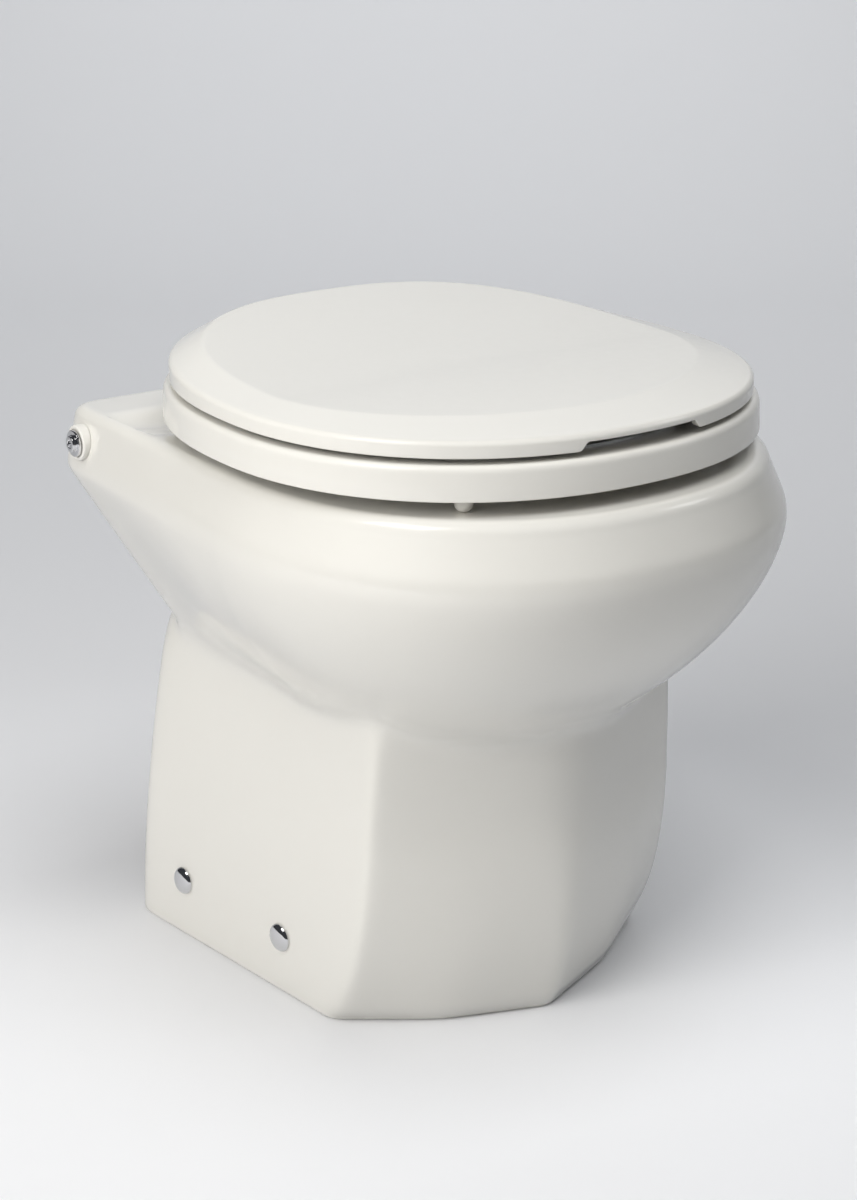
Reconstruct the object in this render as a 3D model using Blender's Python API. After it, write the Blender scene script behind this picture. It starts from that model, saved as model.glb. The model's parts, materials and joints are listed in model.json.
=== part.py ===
"""Electric marine toilet: ceramic bowl and pedestal, seat and lid on a hinge rod, floor fixings,
macerator pump and rinse valve, each piece its own object.

Lengths are in metres, +Z up, the front towards -Y. The origin is on the floor under the middle of the part.
"""

import math

import bmesh
import bpy
import numpy as np
from mathutils import Matrix, Vector

# Clearances
seat_gap = 0.0003
run_gap = 0.00008
cut_overrun = 0.012

# Bowl and rear deck
body_half_width = 0.1950
body_half_depth = 0.2210
rim_height = 0.3865
rim_side_inset = 0.0135
rim_front_inset = 0.0172
rim_rear_inset = 0.0080
rim_edge_round = 0.0060
rim_band_height = 0.0320
crest_height = rim_height - rim_band_height
crest_side_inset = 0.0012
crest_end_inset = 0.0012
crest_turn_height = 0.0121
widest_height = crest_height - crest_turn_height
widest_place_y = -0.0085
deck_side_inset = 0.0085
deck_half_width = body_half_width - deck_side_inset
deck_crest_narrowing = 0.0015
deck_rim_narrowing = 0.0054
belly_share = 0.5321
belly_depth = widest_height * belly_share
belly_fall_power = 1.563
belly_turn_power = 1.672
deck_taper_height_share = 0.30
deck_taper_height = widest_height * deck_taper_height_share
deck_taper_share = 0.2643
deck_taper_start_share = 0.25
deck_taper_end_share = 0.60
front_power = 2.20
deck_corner_power = 30.0
wall = 0.0095
belly_crease = 0.0100

# Pedestal
plan_centre_y = 0.0215
pedestal_side_inset = 0.0622
pedestal_side_x = body_half_width - pedestal_side_inset
pedestal_side_narrowing = 0.0098
pedestal_corner_inset = 0.1870
pedestal_corner_y = pedestal_corner_inset - body_half_depth
pedestal_corner_lean = 0.0470
pedestal_prow_inset = 0.1155
pedestal_prow_y = pedestal_prow_inset - body_half_depth
pedestal_prow_lean = 0.0295
pedestal_lean_height = 0.0600
pedestal_front_bulge = 0.0095
pedestal_front_bulge_loss = 0.0030
pedestal_rear_inset_x = 0.0360
pedestal_rear_x = body_half_width - pedestal_rear_inset_x
pedestal_rear_narrowing = 0.0310
pedestal_rear_inset_y = 0.0195
pedestal_rear_y = body_half_depth - pedestal_rear_inset_y
pedestal_chamfer_x = 0.0180
pedestal_chamfer_y = 0.0200
pedestal_neck_share = 0.6863
pedestal_neck_height = widest_height * pedestal_neck_share
pedestal_top_share = 0.7593
pedestal_top_height = widest_height * pedestal_top_share
pedestal_prow_soft_height = 0.1500
pedestal_narrowing_power = 1.6
pedestal_edge_power = 60.0
prow_sharp_power = 90.0
prow_soft_power = 30.0
foot_round = 0.0030

# Hinge housing at the rear of the deck
hinge_rear_inset = 0.0345
hinge_y = body_half_depth - hinge_rear_inset
hinge_drop = 0.0215
hinge_height = rim_height - hinge_drop
ridge_setback = 0.0210
ridge_front_y = hinge_y - ridge_setback
ridge_slope = 0.0130
deck_dip = 0.0070
trough_cheek = 0.0895
trough_half_width = deck_half_width - trough_cheek
trough_setback = 0.0345
trough_front_y = hinge_y - trough_setback
trough_depth = 0.0270
trough_floor_height = hinge_height - trough_depth
trough_floor_thickness = 0.0130
trough_corner = 0.0080
rod_radius = 0.0040
rod_overhang = 0.0010
bush_radius = 0.0100
bush_length = 0.0300
flange_radius = 0.0123
flange_stand = 0.0035
flange_face_x = deck_half_width + flange_stand
flange_round = 0.0018
flange_gap = 0.0010
end_screw_radius = 0.0093
end_screw_rim = 0.0022
end_screw_nose_radius = 0.0056
end_screw_nose = 0.0046
end_screw_socket_radius = 0.0026
end_screw_socket_depth = 0.0030

# Basin and outlet
basin_side_inset = 0.0730
basin_half_width = body_half_width - basin_side_inset
basin_centre_y = -0.0200
basin_front_inset = 0.0650
basin_front_reach = body_half_depth - basin_front_inset + basin_centre_y
basin_rear_inset = 0.0370
basin_rear_reach = trough_front_y - basin_rear_inset - basin_centre_y
basin_power = 2.15
basin_lip = 0.0080
rim_skirt_drop = 0.0365
rim_skirt_height = rim_height - rim_skirt_drop
rim_skirt_step = 0.0060
outlet_y = 0.0300
outlet_bore = 0.0380
outlet_wall = 0.0120
outlet_top_height = 0.1720
outlet_spigot = 0.0220
outlet_bottom_height = outlet_top_height - outlet_spigot
basin_drop_shares = ((0.0, 0.0), (0.07, 0.20), (0.20, 0.45), (0.37, 0.68), (0.60, 0.87), (1.0, 1.0))
rim_thickness = 0.0120
cavity_height = rim_height - rim_thickness
deck_cavity_height = trough_floor_height - trough_floor_thickness
deck_solid_start_share = 0.45
deck_solid_end_share = 0.62

# Rear service opening in the pedestal
service_side_inset = 0.0640
service_half_width = pedestal_rear_x - service_side_inset
service_height = 0.2000
service_corner = 0.0400
service_cut_depth = 0.0515
service_front_y = pedestal_rear_y - service_cut_depth

# Seat heights
seat_stand = 0.0097
seat_edge_height = rim_height + seat_stand
seat_thickness = 0.0213
seat_top_height = seat_edge_height + seat_thickness

# Lid
lid_side_inset = 0.0130
lid_half_width = body_half_width - lid_side_inset
lid_front_inset = 0.0350
lid_front_reach = body_half_depth - lid_front_inset + widest_place_y
lid_rear_overhang = 0.0100
lid_rear_reach = hinge_y + lid_rear_overhang - widest_place_y
lid_front_power = 2.17
lid_rear_power = 2.30
lid_stand = 0.0035
lid_edge_height = seat_top_height + lid_stand
lid_wall_height = 0.0072
lid_edge_round = 0.0020
lid_skirt = 0.0060
lid_skin = 0.0055
lid_height = 0.0155
plateau_height = lid_edge_height + lid_height
plateau_side_inset = 0.0257
plateau_half_width = lid_half_width - plateau_side_inset
plateau_centre_y = -0.0139
plateau_front_inset = 0.0407
plateau_front_reach = plateau_centre_y - widest_place_y + lid_front_reach - plateau_front_inset
plateau_rear_inset = 0.0300
plateau_rear_reach = widest_place_y + lid_rear_reach - plateau_rear_inset - plateau_centre_y
plateau_front_power = 1.97
plateau_rear_power = 2.64
plateau_edge_round = 0.0040
lid_rise = 0.0160
lid_rise_start_y = -0.0285
lid_rise_length = 0.2000
lid_rise_power = 1.8
lid_wall_rise_share = 0.35
lid_bevel_crown = 0.0010
notch_half_width = 0.0470
notch_height = 0.0055
notch_slant = 0.0060
notch_depth = 0.0160

# Seat
seat_overhang = 0.0050
seat_rear_setback = 0.0280
seat_rear_y = hinge_y - seat_rear_setback
seat_rear_corner = 0.0120
seat_wall_taper = 0.0010
seat_edge_round = 0.0040
seat_skirt = 0.0080
seat_recess = 0.0083
seat_dish = 0.0070
seat_dish_power = 2.5
seat_inner_round = 0.0050
opening_side_inset = 0.0740
opening_half_width = lid_half_width - opening_side_inset
opening_centre_y = -0.0300
opening_front_inset = 0.0440
opening_front_reach = opening_centre_y - widest_place_y + lid_front_reach - opening_front_inset
opening_rear_inset = 0.0735
opening_rear_reach = seat_rear_y - opening_rear_inset - opening_centre_y
opening_power = 2.1

# Bumpers
seat_bumper_radius = 0.0060
seat_bumper_inset = 0.0150
seat_bumper_front_angle = math.radians(-126)
seat_bumper_rear_angle = math.radians(150)
lid_bumper_radius = 0.0055
lid_bumper_front_inset = 0.0700
lid_bumper_front_x = lid_half_width - lid_bumper_front_inset
lid_bumper_front_setback = 0.0980
lid_bumper_front_y = widest_place_y - lid_front_reach + lid_bumper_front_setback
lid_bumper_rear_inset = 0.0660
lid_bumper_rear_x = lid_half_width - lid_bumper_rear_inset
lid_bumper_rear_setback = 0.0785
lid_bumper_rear_y = seat_rear_y - lid_bumper_rear_setback
bumper_dome_share = 0.45
bumper_root = 0.0020

# Hinge arms
arm_width = 0.0180
arm_cheek_gap = 0.0180
seat_arm_x = trough_half_width - arm_cheek_gap
arm_spacing = 0.0200
lid_arm_x = seat_arm_x - arm_spacing
eye_radius = 0.0105
arm_foot_length = 0.0535
arm_front_y = seat_rear_y - arm_foot_length
seat_arm_foot = 0.0060
seat_arm_foot_rear = 0.0100
lid_arm_foot = 0.0070
lid_arm_clear = 0.0045
lid_arm_strap = 0.0090

# Floor fixings
fixing_height = 0.0438
fixing_front_setback = 0.1852
fixing_front_y = pedestal_rear_y - fixing_front_setback
fixing_rear_setback = 0.0723
fixing_rear_y = pedestal_rear_y - fixing_rear_setback
cap_radius = 0.0100
cap_height = 0.0042
cap_hollow_radius = 0.0070
cap_hollow = 0.0028
screw_head_radius = 0.0056
screw_head = 0.0022
screw_radius = 0.0028
screw_tail = 0.0060
screw_hole_radius = 0.0036
bracket_thickness = 0.0040
bracket_height = 0.0600
bracket_shelf = 0.0300
bracket_end = 0.0120
bracket_wall_gap = 0.0018
bracket_slot_radius = 0.0035

# Macerator pump, its axis along X
pump_y = outlet_y
pump_drop = 0.0720
pump_height = outlet_bottom_height - pump_drop
gasket_thickness = 0.0030
neck_flange = 0.0060
neck_radius = 0.0410
neck_wall = 0.0040
throat_radius = 0.0305
throat_x = 0.0090
throat_rise = 0.0505
throat_height = pump_height + throat_rise
chamber_radius = 0.0460
chamber_bore = 0.0410
chamber_end_x = 0.0440
chamber_wall = 0.0050
pump_flange_radius = 0.0540
pump_flange = 0.0060
pump_split_x = -0.0220
wear_plate_thickness = 0.0027
wear_plate_hole = 0.0165
wear_plate_inset = 0.0035
volute_radius = 0.0500
volute_bore = 0.0405
volute_depth = 0.0172
volute_back = 0.0050
seal_radius = 0.0120
seal_gap = 0.0002
lantern_radius = 0.0300
lantern_wall = 0.0060
lantern_length = 0.0105
shaft_radius = 0.0040
motor_radius = 0.0335
motor_wall = 0.0030
motor_length = 0.0520
motor_end_length = 0.0090
motor_end_hub = 0.0100
armature_radius = 0.0225
armature_length = 0.0300
armature_slot = 0.0040
armature_slots = 6
magnet_thickness = 0.0060
magnet_half_angle = math.radians(62)
chopper_radius = 0.0260
chopper_width = 0.0100
chopper_thickness = 0.0030
chopper_gap = 0.0006
shaft_nose = 0.0070
impeller_radius = 0.0360
impeller_hub = 0.0090
impeller_disc = 0.0025
impeller_vane = 0.0030
impeller_gap = 0.0010
impeller_vanes = 5
impeller_sweep = math.radians(50)
outlet_neck_x = -0.0460
outlet_neck_radius = 0.0210
outlet_neck_bore = 0.0165
outlet_neck_root = 0.0365
outlet_neck_start_y = pump_y + outlet_neck_root
outlet_neck_reach = 0.0700
outlet_neck_end_y = pump_y + outlet_neck_reach
outlet_flange_radius = 0.0280
outlet_flange = 0.0060
joker_flange = 0.0030
joker_length = 0.0300
joker_lip = 0.0022
joker_gap = 0.0012
tail_radius = 0.0215
tail_bore = 0.0175
tail_end_inset = 0.0010
barb_radius = 0.0190
barb_rise = 0.0013
barb_length = 0.0450
barb_count = 3

# Motor foot
foot_x = -0.0850
foot_width = 0.0280
foot_half_length = 0.0420
foot_base = 0.0045
foot_lift = 0.0060
foot_web = 0.0100
foot_arc = math.radians(55)
grommet_radius = 0.0100
grommet_span = 0.0320
strap_width = 0.0140
strap_thickness = 0.0012
strap_gap = 0.0008
strap_end_angle = math.radians(8)

# Rinse valve
valve_side_inset = 0.0278
valve_x = pedestal_side_x - valve_side_inset
valve_y = 0.1100
valve_height = 0.1100
valve_size_x = 0.0260
valve_size_y = 0.0300
valve_size_z = 0.0300
valve_corner = 0.0030
hose_barb_radius = 0.0062
hose_barb_bore = 0.0030
hose_barb_length = 0.0200
guide_radius = 0.0075
guide_length = 0.0380
guide_end = 0.0020
coil_radius = 0.0160
coil_length = 0.0280
coil_gap = 0.0030
plunger_radius = 0.0052
plunger_length = 0.0230
plunger_stroke = 0.0025
spring_radius = 0.0040
spring_wire = 0.0005
spring_turns = 5
strip_thickness = 0.0025
strip_width = 0.0220
strip_foot_height = 0.0200
strip_bend_height = 0.0700
strip_top = 0.0120

# Rinse hose and the nozzle through the basin wall
nozzle_drop = 0.0745
nozzle_height = rim_height - nozzle_drop
nozzle_radius = 0.0085
nozzle_flange_radius = 0.0105
nozzle_flange = 0.0030
nozzle_reach = 0.0200
nozzle_stand = 0.0026
hose_bore_gap = 0.0007
hose_bore = hose_barb_radius + hose_bore_gap
hose_wall = 0.0024
hose_radius = hose_bore + hose_wall
hose_grip = 0.0150
hose_bend_reach = 0.0600
hose_end_reach = 0.0420
clamp_width = 0.0070
clamp_thickness = 0.0015
clamp_screw = 0.0040

# Facets
plan_steps = 48
turn_steps = 16
fine_turn_steps = 20
tube_steps = 10
hose_steps = 10
spring_steps = 6
outline_samples = 361
smooth_angle = math.radians(35)


def clear_scene():
    for obj in list(bpy.data.objects):
        bpy.data.objects.remove(obj, do_unlink=True)


def material(name, colour, roughness, metallic=0.0):
    made = bpy.data.materials.get(name)
    if made is None:
        made = bpy.data.materials.new(name)
        made.use_nodes = True
        shader = made.node_tree.nodes["Principled BSDF"]
        shader.inputs["Base Color"].default_value = (*colour, 1.0)
        shader.inputs["Roughness"].default_value = roughness
        shader.inputs["Metallic"].default_value = metallic
        made.diffuse_color = (*colour, 1.0)
    return made


def ceramic():
    return material("glazed_ceramic", (0.83, 0.82, 0.78), 0.12)


def seat_plastic():
    return material("seat_plastic", (0.85, 0.84, 0.80), 0.22)


def white_plastic():
    return material("white_plastic", (0.86, 0.85, 0.81), 0.35)


def chrome():
    return material("polished_chrome", (0.80, 0.80, 0.82), 0.08, 1.0)


def steel():
    return material("stainless_steel", (0.62, 0.62, 0.63), 0.32, 1.0)


def rubber():
    return material("black_rubber", (0.03, 0.03, 0.03), 0.7)


def pump_plastic():
    return material("pump_plastic", (0.045, 0.045, 0.05), 0.5)


def motor_paint():
    return material("motor_paint", (0.06, 0.065, 0.075), 0.45)


def clear_hose():
    return material("hose_plastic", (0.70, 0.71, 0.70), 0.4)


def smooth(mesh):
    mesh.shade_smooth()
    mesh.set_sharp_from_angle(angle=smooth_angle)


def add_object(name, points, faces, finish, place=None, parent=None):
    """One closed mesh as an object. Points are in the frame given by place, a matrix."""
    place = place or Matrix.Identity(4)
    mesh = bpy.data.meshes.new(name)
    mesh.from_pydata([tuple(map(float, p)) for p in points], [], [tuple(f) for f in faces])
    shape = bmesh.new()
    shape.from_mesh(mesh)
    bmesh.ops.recalc_face_normals(shape, faces=shape.faces)
    bmesh.ops.triangulate(shape, faces=[f for f in shape.faces if len(f.verts) > 3])
    shape.to_mesh(mesh)
    shape.free()
    mesh.materials.append(finish)
    smooth(mesh)
    obj = bpy.data.objects.new(name, mesh)
    bpy.context.scene.collection.objects.link(obj)
    if parent is not None:
        obj.parent = parent
        obj.matrix_parent_inverse = parent.matrix_world.inverted()
    obj.matrix_world = place
    return obj


def add_cutter(name, points, faces, place=None):
    obj = add_object(name, points, faces, material("cutter", (1.0, 0.2, 0.2), 0.5), place)
    obj.hide_render = True
    obj.display_type = "WIRE"
    return obj


def combine(obj, other, operation):
    change = obj.modifiers.new(other.name, "BOOLEAN")
    change.operation = operation
    change.solver = "EXACT"
    change.object = other
    return obj


def add_pivot(name, place):
    pivot = bpy.data.objects.new(name, None)
    bpy.context.scene.collection.objects.link(pivot)
    pivot.matrix_world = Matrix.Translation(place)
    return pivot


def along_x(x=0.0, y=0.0, z=0.0, facing=1):
    """Frame whose local Z runs along +X, or along -X where facing is -1, and whose local Y stays world Z."""
    turn = Matrix(((0, 0, facing), (facing, 0, 0), (0, 1, 0))).to_4x4()
    return Matrix.Translation((x, y, z)) @ turn


def along_y(x=0.0, y=0.0, z=0.0):
    """Frame whose local Z runs along +Y, with local X world X and local Y pointing down."""
    turn = Matrix(((1, 0, 0), (0, 0, 1), (0, -1, 0))).to_4x4()
    return Matrix.Translation((x, y, z)) @ turn


def along_z(x=0.0, y=0.0, z=0.0):
    return Matrix.Translation((x, y, z))


def turned(profile, steps=turn_steps, closed=False):
    """Points and faces of a profile of (radius, height) turned round local Z. A radius of zero makes a pole.
    An open profile runs from pole to pole, and a closed one is a ring's section."""
    points, rows = [], []
    for radius, height in profile:
        if radius == 0:
            rows.append([len(points)] * steps)
            points.append((0, 0, height))
            continue
        rows.append(list(range(len(points), len(points) + steps)))
        for k in range(steps):
            angle = 2 * math.pi * k / steps
            points.append((radius * math.cos(angle), radius * math.sin(angle), height))
    if closed:
        rows.append(rows[0])
    faces = []
    for low, high in zip(rows[:-1], rows[1:]):
        for k in range(steps):
            after = (k + 1) % steps
            face = [low[k], low[after], high[after], high[k]]
            face = [v for n, v in enumerate(face) if v not in face[:n]]
            if len(face) > 2:
                faces.append(face)
    return points, faces


def solid_turned(name, profile, finish, place, steps=turn_steps, parent=None):
    return add_object(name, *turned(profile, steps), finish, place, parent)


def ring_turned(name, profile, finish, place, steps=turn_steps, parent=None):
    return add_object(name, *turned(profile, steps, closed=True), finish, place, parent)


def clear_radius(radius, gap, steps):
    """Radius of a bore of so many flats whose flats clear a round pin by the gap."""
    return (radius + gap) / math.cos(math.pi / steps)


def cylinder_cutter(name, radius, start, end, place, steps=turn_steps):
    return add_cutter(name, *turned([(0, start), (radius, start), (radius, end), (0, end)], steps), place)


def prism(outline, start, end):
    """Points and faces of a flat outline of (u, v) carried along local Z."""
    count = len(outline)
    points = [(u, v, start) for u, v in outline] + [(u, v, end) for u, v in outline]
    faces = [list(range(count))[::-1], list(range(count, 2 * count))]
    faces += [[k, (k + 1) % count, count + (k + 1) % count, count + k] for k in range(count)]
    return points, faces


def arc(centre, radius, start, end, steps):
    angles = np.linspace(start, end, steps + 1)
    return [(centre[0] + radius * math.cos(a), centre[1] + radius * math.sin(a)) for a in angles]


def loft(rings, closed=True, poles=False):
    """Skin over rings of equal point counts. Closed joins the last ring to the first, and poles closes
    the first and last ring with a fan round their mean point."""
    rings = np.array(rings)
    count, steps = rings.shape[:2]
    points = rings.reshape(-1, 3).tolist()
    faces = []
    for low in range(count if closed else count - 1):
        high = (low + 1) % count
        for k in range(steps):
            after = (k + 1) % steps
            faces.append([low * steps + k, low * steps + after, high * steps + after, high * steps + k])
    if poles:
        for ring in (0, count - 1):
            middle = len(points)
            points.append(rings[ring].mean(axis=0).tolist())
            for k in range(steps):
                faces.append([ring * steps + k, ring * steps + (k + 1) % steps, middle])
    return points, faces


def blend_minimum(ratios, power):
    """Distance to the nearest of several lines, rounded where two are alike: the p-norm of the inverses."""
    total = np.sum(np.maximum(np.array(ratios), 0.0) ** power, axis=0)
    return total ** (-1.0 / power)


def edge_ratios(theta, corners):
    """Inverse distance from the plan centre to each edge of a symmetrical outline, along direction theta."""
    found = []
    for side in (1, -1):
        points = np.array(corners) * [side, 1]
        for start, end in zip(points[:-1], points[1:]):
            along = end - start
            normal = np.array([along[1], -along[0]]) * side / math.hypot(*along)
            reach = normal @ (start - [0.0, plan_centre_y])
            found.append((normal[0] * np.cos(theta) + normal[1] * np.sin(theta)) / reach)
    return found


def superellipse(angle, half_width, front_reach, rear_reach, front_exponent, rear_exponent, centre_y):
    """Egg outline: |x/a|^n + |y/b|^n = 1 with its own reach and exponent in front and behind."""
    cos, sin = np.cos(angle), np.sin(angle)
    exponent = np.where(sin > 0, rear_exponent, front_exponent)
    reach = np.where(sin > 0, rear_reach, front_reach)
    x = half_width * np.sign(cos) * np.abs(cos) ** (2 / exponent)
    y = centre_y + reach * np.sign(sin) * np.abs(sin) ** (2 / exponent)
    return x, y


def polar_radius(theta, x, y):
    """Radius of a closed outline about the plan centre in the directions theta."""
    angle = np.arctan2(y - plan_centre_y, x)
    radius = np.hypot(x, y - plan_centre_y)
    order = np.argsort(angle)
    angle, radius = angle[order], radius[order]
    angle = np.concatenate([angle - 2 * np.pi, angle, angle + 2 * np.pi])
    return np.interp(theta, angle, np.tile(radius, 3))


def bowl_plan(theta, half_width, front_y, rear_half_width, rear_y):
    """Egg in front of the widest place, and a rounded block behind it that narrows to rear_half_width."""
    front = np.linspace(-np.pi, 0.0, outline_samples)
    reach = widest_place_y - front_y
    front_x, front_line = superellipse(
        front, half_width, reach, reach, front_power, front_power, widest_place_y
    )
    rear = np.linspace(0.0, np.pi, outline_samples)[1:-1]
    cos, sin = np.cos(rear), np.sin(rear)
    depth = rear_y - widest_place_y
    slope = (half_width - rear_half_width) / depth
    lines = [(cos + slope * sin) / half_width, (slope * sin - cos) / half_width, sin / depth]
    radius = blend_minimum(lines, deck_corner_power)
    x = np.concatenate([front_x, radius * cos])
    y = np.concatenate([front_line, widest_place_y + radius * sin])
    return polar_radius(theta, x, y)


def widest_plan(theta):
    return bowl_plan(theta, body_half_width, -body_half_depth, deck_half_width, body_half_depth)


def crest_plan(theta):
    return bowl_plan(
        theta,
        body_half_width - crest_side_inset,
        -body_half_depth + crest_end_inset,
        deck_half_width - deck_crest_narrowing,
        body_half_depth - crest_end_inset / 2,
    )


def rim_plan(theta):
    return bowl_plan(
        theta,
        body_half_width - rim_side_inset,
        -body_half_depth + rim_front_inset,
        deck_half_width - deck_rim_narrowing,
        body_half_depth - rim_rear_inset,
    )


def rise_share(value, start, end):
    """Smooth step from 0 at start to 1 at end."""
    share = np.clip((value - start) / (end - start), 0.0, 1.0)
    return share * share * (3 - 2 * share)


def pedestal_radius(theta, height):
    """Rounded polygon: two bulged front faces that meet in a prow, side panels, chamfers and a rear face."""
    lean = 1 - math.exp(-height / pedestal_lean_height)
    narrowing = (height / pedestal_neck_height) ** pedestal_narrowing_power
    side = pedestal_side_x - pedestal_side_narrowing * narrowing
    prow = (0.0, pedestal_prow_y - pedestal_prow_lean * lean)
    corner = (side, pedestal_corner_y - pedestal_corner_lean * lean)
    bulge = pedestal_front_bulge - pedestal_front_bulge_loss * lean
    run = math.hypot(corner[0], corner[1] - prow[1])
    middle = (
        corner[0] / 2 + bulge * (corner[1] - prow[1]) / run,
        (corner[1] + prow[1]) / 2 - bulge * corner[0] / run,
    )
    rear = pedestal_rear_x - pedestal_rear_narrowing * narrowing
    panel_end = (rear, pedestal_rear_y - pedestal_chamfer_y)
    rear_corner = (rear - pedestal_chamfer_x, pedestal_rear_y)
    softness = min(1.0, height / pedestal_prow_soft_height)
    front_power_here = prow_sharp_power + (prow_soft_power - prow_sharp_power) * softness
    front = edge_ratios(theta, [prow, middle, corner])
    sides = edge_ratios(theta, [corner, panel_end, rear_corner, (0.0, pedestal_rear_y)])
    with np.errstate(divide="ignore"):
        nose = 1 / blend_minimum(front, front_power_here)
    return blend_minimum([nose, *sides], pedestal_edge_power)


def bowl_radius(theta, height):
    """Straight flared band from rim to crest, then a rounded belly in front and a straight taper behind."""
    if height >= crest_height:
        share = (height - crest_height) / (rim_height - crest_height)
        return crest_plan(theta) * (1 - share) + rim_plan(theta) * share
    if height >= widest_height:
        share = (crest_height - height) / (crest_height - widest_height)
        crest = crest_plan(theta)
        return crest + (widest_plan(theta) - crest) * (1 - (1 - share) ** 2)
    drop = widest_height - height
    fall = min(1.0, drop / belly_depth)
    belly = (1 - fall**belly_fall_power) ** (1 / belly_turn_power)
    taper = 1 - deck_taper_share * drop / deck_taper_height
    rear = rise_share(np.sin(theta), deck_taper_start_share, deck_taper_end_share)
    return widest_plan(theta) * (belly * (1 - rear) + taper * rear)


def joined_radius(pedestal, bowl):
    """Larger of two radii, with a fillet where they are alike."""
    near = np.maximum(belly_crease - np.abs(pedestal - bowl), 0.0)
    return np.maximum(pedestal, bowl) + near**2 / (4 * belly_crease)


def outer_radius(theta, height):
    pedestal = pedestal_radius(theta, min(height, pedestal_top_height))
    return joined_radius(pedestal, bowl_radius(theta, height))


def inner_radius(theta, height):
    """Inside of the shell: the outside less the wall, measured along the plan radius."""
    pedestal = pedestal_radius(theta, min(height, pedestal_top_height)) - wall
    slope_share = np.clip((widest_height - height) / belly_depth, 0.0, 1.0)
    bowl = bowl_radius(theta, height) - wall * (1 + slope_share)
    return joined_radius(pedestal, bowl)


def ring_at(theta, radius, height):
    radius = np.broadcast_to(radius, theta.shape)
    height = np.broadcast_to(height, theta.shape)
    return np.stack([radius * np.cos(theta), plan_centre_y + radius * np.sin(theta), height], axis=-1)


def plan_angles():
    return np.linspace(-np.pi, np.pi, plan_steps, endpoint=False)


def outer_rings(theta):
    """The outside from the foot to the rim's rounded edge."""
    belly_span = widest_height - outlet_bottom_height
    foot = [ring_at(theta, outer_radius(theta, 0.0) - foot_round, 0.0)]
    foot.append(ring_at(theta, outer_radius(theta, foot_round), foot_round))
    pedestal_heights = np.array((0.22, 0.60, 1.12)) * outlet_bottom_height
    belly_shares = np.array((0.30, 0.37, 0.46, 0.58, 0.72, 0.87, 1.0))
    band_shares = (0.0, 1 - rim_edge_round / (rim_height - crest_height))
    heights = [*pedestal_heights, *(outlet_bottom_height + belly_shares * belly_span)]
    heights.append((widest_height + crest_height) / 2)
    heights += [crest_height + share * (rim_height - crest_height) for share in band_shares]
    return foot + [ring_at(theta, outer_radius(theta, height), height) for height in heights]


def basin_plan(theta, spread):
    outline = np.linspace(-np.pi, np.pi, outline_samples)
    x, y = superellipse(
        outline,
        basin_half_width + spread,
        basin_front_reach + spread,
        basin_rear_reach + spread,
        basin_power,
        basin_power,
        basin_centre_y,
    )
    return polar_radius(theta, x[:-1], y[:-1])


def deck_share(theta):
    """One over the rear deck, where a ridge stands over the hinge, and zero round the bowl."""
    return rise_share(np.sin(theta), deck_solid_start_share, deck_solid_end_share)


def rim_rings(theta):
    """Over the rim: rounded edge, ridge, the dip in front of it, and the lip of the basin."""
    rim = rim_plan(theta)
    dip = deck_dip * deck_share(theta)
    edge = rim_edge_round
    lip = basin_plan(theta, basin_lip)
    behind = np.clip(np.sin(theta), deck_taper_start_share, None)
    ridge = np.minimum(rim - 2 * edge, (ridge_front_y - plan_centre_y) / behind)
    foot = np.maximum(ridge - ridge_slope, lip + edge / 2)
    ridge = np.maximum(ridge, foot + edge / 2)
    return [
        ring_at(theta, rim - edge * 0.25, rim_height - edge * 0.35),
        ring_at(theta, rim - edge, rim_height),
        ring_at(theta, ridge, rim_height),
        ring_at(theta, foot, rim_height - dip),
        ring_at(theta, lip, rim_height - dip),
        ring_at(theta, basin_plan(theta, basin_lip / 4), rim_height - dip - basin_lip / 4),
        ring_at(theta, basin_plan(theta, 0.0), rim_height - dip - basin_lip),
        ring_at(theta, basin_plan(theta, 0.0), rim_skirt_height),
    ]


def outlet_ring(theta, radius, height):
    x, y = radius * np.cos(theta), outlet_y + radius * np.sin(theta)
    return np.stack([x, y, np.broadcast_to(height, theta.shape)], axis=-1)


def basin_rings(theta):
    """Down the basin from the rim skirt to the outlet, and back up its underside."""
    top = rim_skirt_height - rim_skirt_step
    inside, outside = [], []
    for inward, down in basin_drop_shares:
        height = top + (outlet_top_height - top) * down
        mouth = ring_at(theta, basin_plan(theta, rim_skirt_step), height)
        inside.append(mouth * (1 - inward) + outlet_ring(theta, outlet_bore, height) * inward)
        below = height - outlet_wall * inward
        mouth = ring_at(theta, basin_plan(theta, rim_skirt_step + wall), below)
        outside.append(mouth * (1 - inward) + outlet_ring(theta, outlet_bore + outlet_wall, below) * inward)
    spigot = [
        outlet_ring(theta, outlet_bore, outlet_bottom_height),
        outlet_ring(theta, outlet_bore + outlet_wall, outlet_bottom_height),
    ]
    return inside + spigot + outside[::-1][:-1]


def cavity_rings(theta):
    """Inside of the shell, from under the rim down to the foot. The ceiling is lower under the rear deck."""
    ceiling = cavity_height + (deck_cavity_height - cavity_height) * deck_share(theta)
    side = basin_plan(theta, rim_skirt_step + wall)
    step = (ceiling - wall)[None, :]
    rings = [ring_at(theta, side, step[0]), ring_at(theta, side + wall / 2, ceiling)]
    low = widest_height - 4 * wall
    heights = ceiling + (low - ceiling) * 0.45
    for level, inset in ((ceiling, wall / 2), (heights, 0.0)):
        radius = np.array([float(inner_radius(np.array([t]), h)[0]) for t, h in zip(theta, level)])
        rings.append(ring_at(theta, radius - inset, level))
    for height in (low, low * 0.84, low * 0.70, outlet_bottom_height, low * 0.20, 0.0):
        rings.append(ring_at(theta, inner_radius(theta, height), height))
    return rings


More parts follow.
